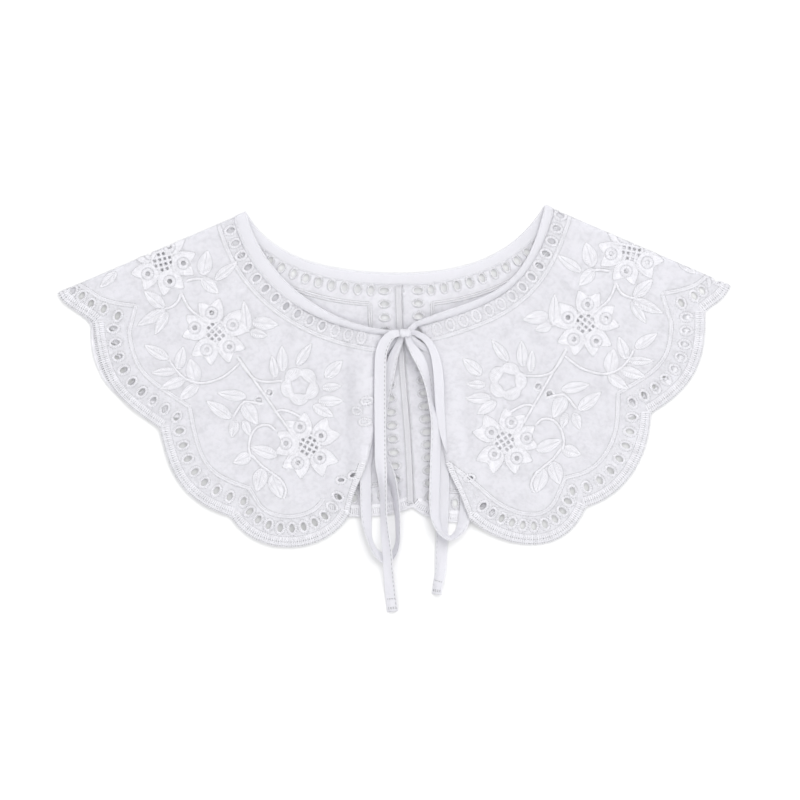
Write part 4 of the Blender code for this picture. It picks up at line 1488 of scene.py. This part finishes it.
class COLLAR_OT_stage(bpy.types.Operator):
    """Sets the camera, the floor and the studio light"""
    bl_idname = "collar.stage"
    bl_label = "Set Stage"

    def execute(self, context):
        settings = context.scene.collar_stage
        camera = bpy.data.cameras.new("studio_camera")
        camera.lens, camera.sensor_width = settings.lens, 36.0
        camera.clip_end = 50.0
        view = linked(bpy.data.objects.new("studio_camera", camera))
        view.location = (*CAMERA_OVER, settings.height)
        context.scene.camera = view
        context.scene.view_settings.view_transform = "Standard"

        corners = [(-1, -1, 0), (1, -1, 0), (1, 1, 0), (-1, 1, 0)]
        floor = new_piece("studio_floor", np.array(corners) * FLOOR_REACH, [(0, 1, 2, 3)],
                          finish("table_top", floor_finish, TABLE_TOP))
        floor.location.z = -FLOOR_DROP

        world = bpy.data.worlds.new("studio_dome")
        world.use_nodes = True
        back = world.node_tree.nodes["Background"]
        back.inputs["Color"].default_value = (0.99, 0.995, 1.0, 1.0)
        back.inputs["Strength"].default_value = settings.dome
        context.scene.world = world
        self.add_light("key_light", (0.75, 1.15, 2.2), 2.0, settings.key)
        self.add_light("low_fill", (-0.5, -1.2, 2.5), 1.8, settings.key * 0.3)
        return {"FINISHED"}

    def add_light(self, name, place, size, power):
        """A square soft light aimed at the collar."""
        lamp = bpy.data.lights.new(name, "AREA")
        lamp.shape, lamp.size, lamp.energy = "SQUARE", size, power
        light = linked(bpy.data.objects.new(name, lamp))
        light.location = place
        light.rotation_euler = (-Vector(place)).to_track_quat("-Z", "Y").to_euler()


def tape_frames(route):
    """Middles, and directions across and out of a tape, at each station."""
    middle = route[:, :3]
    ahead = unit(np.gradient(middle, axis=0))
    run = np.arctan2(ahead[:, 1], ahead[:, 0])
    tilt = np.radians(route[:, 3])
    aside = np.stack([-np.sin(run) * np.cos(tilt), np.cos(run) * np.cos(tilt), np.sin(tilt)],
                     axis=1)
    return middle, aside, unit(np.cross(ahead, aside))


def sweep(name, rings, material, uv):
    """A closed shape through rings of points of equal count."""
    rings = np.array(rings)
    stations, count = rings.shape[:2]
    faces = []
    for k in range(stations - 1):
        for j in range(count):
            a, b = k * count + j, k * count + (j + 1) % count
            faces.append((a, b, b + count, a + count))
    faces.append(tuple(range(count))[::-1])
    faces.append(tuple((stations - 1) * count + j for j in range(count)))
    return new_piece(name, rings.reshape(-1, 3), faces, material, np.vstack(uv))


class COLLAR_OT_tapes(bpy.types.Operator):
    """Lays the four strands of the tied tapes"""
    bl_idname = "collar.tapes"
    bl_label = "Lay Tapes"

    def execute(self, context):
        cloth, thread = plain_cotton("tape_cotton"), sewing_thread()
        # The needle holes are painted shade, in dark thread.
        shade = finish("needle_shade", thread_finish, NEEDLE_SHADE)
        wall = context.scene.collar_tape.wall / MM
        for name in TAPES:
            route = curve_through(TAPES[name], TAPE_STEPS_PER_ROW)
            middle, aside, out = tape_frames(route)
            run = lengths(middle)
            total = run[-1]
            half = route[:, 4] / 2
            spot, depth = self.crease(name, run)
            across, thick = TAPE_PROFILE.T
            rings, uv = [], []
            for k in range(len(route)):
                bow = self.bow(across, spot[k], depth[k])
                rings.append(middle[k] + np.outer(across * half[k], aside[k])
                             + np.outer(thick * wall / 2 + bow, out[k]))
                uv.append(np.column_stack([across * FULL_HALF_WIDTH + thick * 0.3,
                                           np.full(len(across), run[k])]))
            label = name.replace("tie_", "tape_")
            tape = sweep(label, rings, cloth, uv)
            settle(tape, "tape", name)

            def carry(flat):
                place, side, up = (read_along(flat[:, 0], run, part)
                                   for part in (middle, aside, out))
                reach, crease, deep = read_along(
                    flat[:, 0], run, np.column_stack([half, spot, depth])).T
                share = flat[:, 1] / FULL_HALF_WIDTH
                bow = self.bow(share, crease, deep)
                return (place + side * (share * reach)[:, None]
                        + up * (flat[:, 2] + bow)[:, None])

            fine, dark = self.stitching(name, total, wall)
            for part, rows, colour in (("stitching", fine, thread), ("needle_hole_shade", dark, shade)):
                settle(stitch_piece(f"{label}_{part}", rows, colour, carry, Wander=0.12), "tape")
            path = [tuple(point * MM) for point in middle]
        return {"FINISHED"}

    def stitching(self, name, total, wall):
        """Rows of a tape's seams and bar tacks, on both faces, and of the dark stitches that paint
        the shade of their needle holes.
        """
        hand, holes = (1, "wide") if name == "tie_tail_left" else (-1, "fine")
        seam, edge = TAPE_SEAM_ASIDE * hand, TAPE_EDGE_ASIDE * hand
        line = np.array([(6.0, seam), (total - 0.6, seam)])
        outer = np.array([(4.0, edge), (total - 0.4, edge)])
        fine, dark = [], []
        for level in (wall * 0.42, -wall * 0.42):
            dark.append(run_stitches(line, *TAPE_HOLE_SHADE[holes], level))
            fine.append(run_stitches(line + [1.5, 0.0], *TAPE_SEAM, level))
            fine.append(run_stitches(outer, *TAPE_EDGE_SEAM, level))
            for back in TACK_PLACES if "tail" in name else ():
                tack = np.array([(total - back, -TACK_REACH), (total - back, TACK_REACH)])
                dark.append(run_stitches(tack, *TACK_HOLE_SHADE, level))
                fine.append(run_stitches(tack + [0.5, 0.4], *TACK, level))
        return fine, dark

    def crease(self, name, run):
        """Where along its width a tape is creased, and how deep, at each station."""
        phase = len(name) + 3.0 * (name[-1] == "t")
        spot = 0.25 * np.sin(run / 23.0 + phase)
        depth = 0.5 * np.sin(run / 17.0 + phase * 1.7) + 0.15
        return spot, depth

    def bow(self, share, spot, depth):
        """Height of a tape's middle where it is creased along its length."""
        rise = np.where(share < spot, (share + 1) / (spot + 1), (1 - share) / (1 - spot))
        return depth * np.clip(rise, 0.0, 1.0) ** 1.3


class COLLAR_OT_knot(bpy.types.Operator):
    """Wraps the knot where the tapes cross"""
    bl_idname = "collar.knot"
    bl_label = "Tie Knot"

    def execute(self, context):
        cloth = plain_cotton("tape_cotton")
        centre, half = np.array(KNOT_CENTRE), np.array(KNOT_SIZE) / 2
        rings, uv = [], []
        around, stations = 28, 15
        for k in range(stations):
            share = k / (stations - 1) * 2 - 1
            plump = 1 - abs(share) ** 4 * 0.3 - 0.06 * math.cos(share * 5)
            ring = []
            for j in range(around):
                angle = 2 * math.pi * j / around
                pleat = 1 + 0.035 * math.sin(6 * angle + 2 * share)
                y = math.copysign(abs(math.cos(angle)) ** 0.6, math.cos(angle))
                z = math.copysign(abs(math.sin(angle)) ** 0.6, math.sin(angle))
                ring.append((share * KNOT_HALF_WRAP, y * KNOT_HALF_WIDTH * plump * pleat,
                             z * half[2] * 0.9 * plump * pleat))
                uv.append((share * 4.0, angle * 3.0))
            rings.append(centre + KNOT_SHIFT + np.array(ring))
        settle(sweep("knot_wrap", rings, cloth, uv), "tape", "tie_knot")
        route = curve_through(KNOT_CURL, TAPE_STEPS_PER_ROW)
        middle, aside, out = tape_frames(route)
        across, thick = TAPE_PROFILE.T
        rings = [middle[k] + np.outer(across * route[k, 4] / 2, aside[k])
                 + np.outer(thick * 0.28, out[k]) for k in range(len(route))]
        run = lengths(middle)
        uv = [np.column_stack([across * 2.0, np.full(len(across), part)]) for part in run]
        curl = sweep("knot_curl", rings, cloth, uv)
        settle(curl, "tape")
        path = [tuple(point * MM) for point in middle]
        return {"FINISHED"}


class COLLAR_OT_hems(bpy.types.Operator):
    """Works the satin hems and the corded inner border, and in dark thread as painted shade the
    hems' dotted lines, edge lines and needle holes
    """
    bl_idname = "collar.hems"
    bl_label = "Work Hems"

    def execute(self, context):
        settings = context.scene.collar_stitch
        pitch, width = settings.pitch / MM, settings.hem_width / MM
        for side in SIDES:
            half, design = half_of(side)
            satin, cords, holes = [], [], []
            for name, runs in half.runs.items():
                if name not in ("front hem", "back hem", "edge"):
                    continue
                for run in runs:
                    wide, inward = width, half.inward
                    if name == "edge":
                        run, wide = run[half.surface(run)[:, 1] < -60], width * 0.5
                    spots = evenly(parallel(run, (wide / 2 + 0.3) * inward), pitch)
                    flatter = 0.5 if name == "back hem" else 1.0
                    satin.append(row_of(spots, headings(spots) + math.pi / 2, wide,
                                        pitch * (1.5 if name == "back hem" else 0.92),
                                        0.9 * flatter))
                    satin.append(cord_stitches(parallel(run, 0.55 * inward), *HEM_CORD))
                    if name == "back hem":
                        continue
                    edge, middle, foot = (parallel(run, reach * inward)
                                          for reach in (0.05, wide * 0.5, wide + 0.9))
                    # Painted shadow: a dark line at the very edge. Then painted shade in needle
                    # holes and, on the front hem, in dots.
                    holes.append(run_stitches(edge, *HEM_EDGE_SHADOW, -0.12))
                    holes.append(shade_marks(foot, *HEM_SHADE_MARKS))
                    if name == "front hem":
                        holes.append(run_stitches(middle, *HEM_DOTS, 0.5))
            work(side, "satin_hem", satin, Segments=3, Taper=0.3)
            for run in design.border_lines:
                for hand in (-1, 1):
                    cords.append(cord_stitches(parallel(run, 0.75 * hand), *BORDER_CORD))
                    # Painted shade: dark needle holes along both sides of the border.
                    holes.append(shade_marks(parallel(run, 1.5 * hand), *LINE_SHADE_MARKS))
            cords.append(design.seed_stitches(settings.seed, width))
            work(side, "border_cord", cords)
            work(side, "hem_shade_marks", holes, shaded=True)
        return {"FINISHED"}


class COLLAR_OT_eyelets(bpy.types.Operator):
    """Works a satin rim round every eyelet"""
    bl_idname = "collar.eyelets"
    bl_label = "Work Eyelets"

    def execute(self, context):
        for side in SIDES:
            _, design = half_of(side)
            eyelets = design.row_holes + design.small_holes
            work(side, "eyelet_rims", [rim_stitches(item) for item in eyelets])
            # Painted shade: dark rings round each front eyelet's rim and just inside each uncut
            # eyelet, where shadow would lie.
            rows = [rim_shade_marks(item, item.wide + 0.35) for item in design.row_holes if item.y > 0]
            rows += [rim_shade_marks(item, -0.4) for item in design.uncut]
            work(side, "rim_shade_marks", rows, shaded=True)
        return {"FINISHED"}


class COLLAR_OT_flowers(bpy.types.Operator):
    """Works the petals, lattice middles and blooms"""
    bl_idname = "collar.flowers"
    bl_label = "Work Flowers"

    def execute(self, context):
        for side in SIDES:
            _, design = half_of(side)
            rows, holes = [], []
            for middle, eyelet, size in design.petals:
                rows += petal_stitches(middle, eyelet, size)
                holes += petal_shade_marks(middle, eyelet, size)
            for middle, turn, size in design.centres:
                rows += self.lattice(middle, turn, size)
            for middle, size in design.blooms:
                around = np.arange(61) * 2 * math.pi / 60
                spoke = oval(around, size, size)
                lobes = np.abs(np.cos(around * 2.5 + 0.4))[:, None]
                inner, outer = 6.3 + 1.6 * (1 - lobes), 9.4 + 3.2 * lobes ** 0.6
                rows.append(stitches_between(middle + spoke * inner, middle + spoke * outer,
                                             1.1, 0.75))
                rows.append(cord_stitches(middle + spoke * outer, *BLOOM_OUTER_CORD))
                rows.append(cord_stitches(middle + spoke * (inner - 0.6), *BLOOM_INNER_CORD))
                # Painted shade: dark needle holes outside the bloom's outer edge and inside its
                # inner edge.
                holes += [shade_marks(middle + spoke * (outer + 0.9)),
                          shade_marks(middle + spoke * (inner - 1.3))]
            work(side, "flowers", rows)
            work(side, "flower_shade_marks", holes, shaded=True)
        return {"FINISHED"}

    def lattice(self, middle, turn, size):
        """Corded bars across a flower's middle, and a ring round them."""
        rows = []
        reach, pitch = LATTICE_RADIUS * size + 0.6, LATTICE_PITCH * size
        for k in range(-2, 3):
            span = math.sqrt(max(reach ** 2 - (k * pitch) ** 2, 0))
            if span < 1:
                continue
            for spin in (turn, turn + math.pi / 2):
                along, aside = turned(spin)
                ends = [middle + aside * k * pitch + along * end for end in (-span, span)]
                rows.append(cord_stitches(np.array(ends), *LATTICE_BAR))
        ring = middle + oval(np.linspace(0, 2 * math.pi, 40), reach + 0.3, reach + 0.3)
        rows.append(cord_stitches(ring, *LATTICE_RING))
        return rows


class COLLAR_OT_leaves(bpy.types.Operator):
    """Works the leaves and stems"""
    bl_idname = "collar.leaves"
    bl_label = "Work Leaves"

    def execute(self, context):
        for side in SIDES:
            _, design = half_of(side)
            work(side, "leaves", [leaf_stitches(*leaf) for leaf in design.leaves])
            rows = [cord_stitches(stem, *STEM_CORD) for stem in design.stems]
            work(side, "stems", rows, Segments=3)
            # Painted shade: dark needle holes round the leaves, down their midribs and along both
            # sides of the stems.
            holes = [row for leaf in design.leaves for row in leaf_shade_marks(*leaf)]
            holes += [shade_marks(parallel(stem, aside), *LINE_SHADE_MARKS) for stem in design.stems
                      for aside in (-1.1, 1.1)]
            work(side, "leaf_shade_marks", holes, shaded=True)
        return {"FINISHED"}


class COLLAR_OT_cloth(bpy.types.Operator):
    """Cuts each half from one piece of cloth and folds it at the shoulder"""
    bl_idname = "collar.cloth"
    bl_label = "Cut Cloth"

    def execute(self, context):
        settings = context.scene.collar_cloth
        cloth = finish("cotton_voile", cloth_finish, tuple(settings.colour), settings.weave, 0.6,
                       settings.through, 1.1, 0.16, 0.16)
        for side in SIDES:
            half, design = half_of(side)
            flat, faces = self.cut(half, design, settings.spacing / MM)
            points = half.laid(flat, np.zeros(len(flat)))
            panel = new_piece(f"panel_{side}_cloth", points, faces, cloth, flat)
            thicken = panel.modifiers.new("Wall", "SOLIDIFY")
            thicken.thickness, thicken.offset = settings.wall, 0.0
            settle(panel, "embroidered_cloth", f"panel_{side}")
            size = (half.border.max(0) - half.border.min(0)) * MM
            half.cut_area * MM * MM
        return {"FINISHED"}

    def cut(self, half, design, spacing):
        """Points and triangles of one half in the cutting plane, with its holes."""
        border = evenly(np.vstack([half.border, half.border[:1]]), BORDER_SPACING)[:-1]
        runs = [border]
        holes = design.all_holes()
        for x, y, turn, length, breadth, _ in holes:
            count = 16 if length > SMALL_HOLE else 10
            rim = oval(np.arange(count) * 2 * math.pi / count, length, breadth)
            runs.append(np.array([x, y]) + rim @ turned(turn))
        fixed = np.vstack(runs)
        edges, start = [], 0
        for run in runs:
            edges += [(start + k, start + (k + 1) % len(run)) for k in range(len(run))]
            start += len(run)
        low, high = half.border.min(0), half.border.max(0)
        rows = []
        for j, y in enumerate(np.arange(low[1], high[1], spacing * NET_ROW)):
            xs = np.arange(low[0] + (j % 2) * spacing / 2, high[0], spacing)
            rows.append(np.column_stack([xs, np.full(len(xs), y)]))
        net = np.vstack(rows)
        net = net[inside(net, half.border)]
        net = net[nearest(net, fixed) > spacing * NET_CLEARANCE]
        net = net[~self.in_holes(net, holes)]
        for k in range(-2, 3):
            line = np.arange(low[0] + 2, high[0] - 2, spacing)
            extra = np.column_stack([line, np.full(len(line), k * half.turn / 2)])
            extra = extra[inside(extra, half.border)]
            extra = extra[nearest(extra, np.vstack([fixed, net])) > 0.5]
            net = np.vstack([net, extra])
        points = np.vstack([fixed, net])
        found = delaunay_2d_cdt([Vector(p) for p in points], edges, [], 0, 1e-6, False)
        flat = np.array([tuple(p) for p in found[0]])
        faces = np.array([face for face in found[2] if len(face) == 3])
        middles = flat[faces].mean(axis=1)
        keep = inside(middles, half.border) & ~self.in_holes(middles, holes)
        faces = faces[keep]
        a, b, c = (flat[faces[:, k]] for k in range(3))
        area = (b[:, 0] - a[:, 0]) * (c[:, 1] - a[:, 1]) - (b[:, 1] - a[:, 1]) * (c[:, 0] - a[:, 0])
        faces[area < 0] = faces[area < 0][:, ::-1]
        faces = faces[np.abs(area) > 1e-6]
        used = np.unique(faces)
        renumber = np.full(len(flat), -1)
        renumber[used] = np.arange(len(used))
        return flat[used], renumber[faces]

    def in_holes(self, points, holes):
        """Which points lie in a hole."""
        result = np.zeros(len(points), bool)
        for x, y, turn, length, breadth, _ in holes:
            dx, dy = points[:, 0] - x, points[:, 1] - y
            u = (dx * math.cos(turn) + dy * math.sin(turn)) / length
            v = (dy * math.cos(turn) - dx * math.sin(turn)) / breadth
            result |= u * u + v * v < WITHIN_HOLE
        return result


class COLLAR_OT_neckband(bpy.types.Operator):
    """Binds the neck edge with one narrow band"""
    bl_idname = "collar.neckband"
    bl_label = "Bind Neck"

    def execute(self, context):
        cloth, thread = plain_cotton("band_cotton"), sewing_thread()
        rows = np.array(self.stations())
        middle = rows.mean(axis=1)
        run = lengths(middle)
        across = np.array([0.0, 0.02, 0.12, 0.3, 0.5, 0.7, 0.88, 0.98, 1.0])
        puff = np.array([0.0, 0.12, 0.22, 0.34, 0.4, 0.4, 0.4, 0.28, 0.0])
        rings, uv = [], []
        seam, free = rows[:, 0], rows[:, 1]
        up = unit(np.cross(unit(np.gradient(middle, axis=0)), free - seam))
        curve = np.sin(across * math.pi / 2) ** 0.5 - across
        for k in range(len(rows)):
            line = seam[k] + np.outer(across, free[k] - seam[k])
            line[:, 2] += curve * (free[k, 2] - seam[k, 2])
            top = line + np.outer(puff, up[k])
            low = line - np.outer(puff, up[k])
            rings.append(np.vstack([top, low[-2:0:-1]]))
            uv.append(np.column_stack([np.concatenate([across, across[-2:0:-1]]) * 8.0,
                                       np.full(2 * len(across) - 2, run[k])]))
        band = sweep("neckband_cloth", rings, cloth, uv)
        settle(band, "neckband", "neckband")

        def carry(flat):
            start, end, out = (read_along(flat[:, 0], run, edge) for edge in (seam, free, up))
            share = flat[:, 1:2] / BAND_WIDTH
            point = start + share * (end - start) + out * flat[:, 2:]
            point[:, 2] += np.interp(share[:, 0], across, curve) * (end - start)[:, 2]
            return point

        marks = []
        for row in (1.2, 7.4):
            line = np.array([(2.0, row), (run[-1] - 2.0, row)])
            for level in (0.42, -0.42):
                marks.append(run_stitches(line, *BAND_SEAM, level))
        settle(stitch_piece("neckband_topstitch", marks, thread, carry), "neckband")
        return {"FINISHED"}

    def stations(self):
        """Seam and free edge from the left front end, round the back, to the right."""
        halves = {}
        for side in SIDES:
            half, _ = half_of(side)
            neck, free = SHOULDERS[side]["neck"], SHOULDERS[side]["band"]
            parts = {}
            for layer, necks, edges, count in (("front", FRONT_NECKS, FRONT_BAND_EDGES, 60),
                                               ("back", BACK_NECKS, BACK_BAND_EDGES, 40)):
                seam_run = evenly(outline(neck, necks[side]), count=count)[1:]
                free_run = evenly(outline(free, edges[side]), count=count)[1:]
                wide = np.linalg.norm(free_run - seam_run, axis=1)
                seam_run = seam_run - (free_run - seam_run) / wide[:, None] * SEAM_OVERLAP
                stand = BAND_STAND * np.sqrt(np.maximum(BAND_WIDTH ** 2 - wide ** 2, 0.0))
                if layer == "front":
                    base = half.level + 0.5 + half.lift(seam_run)
                else:
                    base, stand = BAND_LEVEL + half.back_stand(seam_run), 0.0
                seam = np.column_stack([seam_run, base])
                top = np.column_stack([free_run, base + stand])
                parts[layer] = np.stack([seam, top], axis=1)
            turns = []
            for turn in np.linspace(0, math.pi, 7):
                out = half.across * BAND_FOLD_RADIUS * (1 - math.sin(turn))
                height = BAND_LEVEL + BAND_FOLD_RADIUS * (1 - math.cos(turn))
                turns.append([(*(edge + out), height) for edge in np.array([neck, free])])
            last = parts["front"][-1]
            share = smooth(np.arange(1, 6) / 5)[:, None, None]
            end = last * (1 - share) + np.array(BAND_ENDS[side]) * share
            halves[side] = list(parts["back"][::-1]) + turns + list(parts["front"]) + list(end)
        return list(reversed(halves["left"])) + halves["right"][1:]


class COLLAR_OT_centre_back(bpy.types.Operator):
    """Sews and overlocks the centre-back seam"""
    bl_idname = "collar.centre_back"
    bl_label = "Sew Centre Back"

    def execute(self, context):
        cloth = finish("seam_voile", cloth_finish, SEAM_CLOTH, 0.00045, 0.6, 0.3, 0.5, 0.1)
        seam = outline(BACK_NECKS["left"][-1][2], CENTRE_BACK)
        total = lengths(seam)[-1]
        line = at_distances(seam, np.linspace(0.012, 0.992, 60) * total)
        across = np.array([0.2, 0.3, 0.5, 0.72, 0.95, 1.0])
        profile_up = np.array([0.0, 0.22, 0.25, 0.25, 0.2, 0.0])
        rings, uv = [], []
        rise = back_rise(line)
        for k, (x, y) in enumerate(line):
            places = x - SEAM_STRIP_SHIFT - SEAM_STRIP_WIDTH * (1 - across)
            top, low = (np.column_stack([places, np.full(6, y), SEAM_STRIP_STAND + rise[k] + up])
                        for up in (profile_up, -profile_up))
            rings.append(np.vstack([top, low[-2:0:-1]]))
            uv.append(rings[-1][:, :2])
        strip = sweep("centre_back_allowance", rings, cloth, uv)
        settle(strip, "embroidered_cloth", "centre_back_seam")
        start = evenly(line, 1.7) - [SEAM_STRIP_SHIFT + SEAM_STRIP_WIDTH - 0.7, 0]
        rows = [stitches_between(start, start + [1.7, 0.85 * hand], 0.4, 0.35, 1.6)
                for hand in (1, -1)]
        rows.append(run_stitches(line - [0.9, 0], *BACK_SEAM, 1.57))

        def raised(flat):
            return flat + np.outer(back_rise(flat), [0, 0, 1])

        marks = stitch_piece("centre_back_overlock", rows, sewing_thread(), raised, Wander=0.1)
        settle(marks, "embroidered_cloth")
        return {"FINISHED"}


class COLLAR_PT_panel(bpy.types.Panel):
    """Lists the steps of making the collar"""
    bl_idname = "COLLAR_PT_panel"
    bl_label = "Embroidered Collar"
    bl_space_type = "VIEW_3D"
    bl_region_type = "UI"
    bl_category = "Collar"

    def draw(self, context):
        for name in ("collar_cloth", "collar_stitch", "collar_tape", "collar_stage"):
            settings = getattr(context.scene, name)
            box = self.layout.box()
            for key in settings.__annotations__:
                box.prop(settings, key)
        for step in STEPS:
            self.layout.operator(step.bl_idname)


STEPS = (COLLAR_OT_stage, COLLAR_OT_tapes, COLLAR_OT_knot, COLLAR_OT_hems, COLLAR_OT_eyelets,
         COLLAR_OT_flowers, COLLAR_OT_leaves, COLLAR_OT_cloth, COLLAR_OT_neckband,
         COLLAR_OT_centre_back)
SETTINGS = {"collar_cloth": ClothSettings, "collar_stitch": StitchSettings,
            "collar_tape": TapeSettings, "collar_stage": StageSettings}


def register():
    for item in (*SETTINGS.values(), *STEPS, COLLAR_PT_panel):
        bpy.utils.register_class(item)
    for name, item in SETTINGS.items():
        setattr(bpy.types.Scene, name, PointerProperty(type=item))


def unregister():
    for name in SETTINGS:
        delattr(bpy.types.Scene, name)
    for item in reversed((*SETTINGS.values(), *STEPS, COLLAR_PT_panel)):
        bpy.utils.unregister_class(item)


def main():
    register()
    for step in STEPS:
        group, action = step.bl_idname.split(".")
        getattr(getattr(bpy.ops, group), action)()


if __name__ == "__main__":
    main()
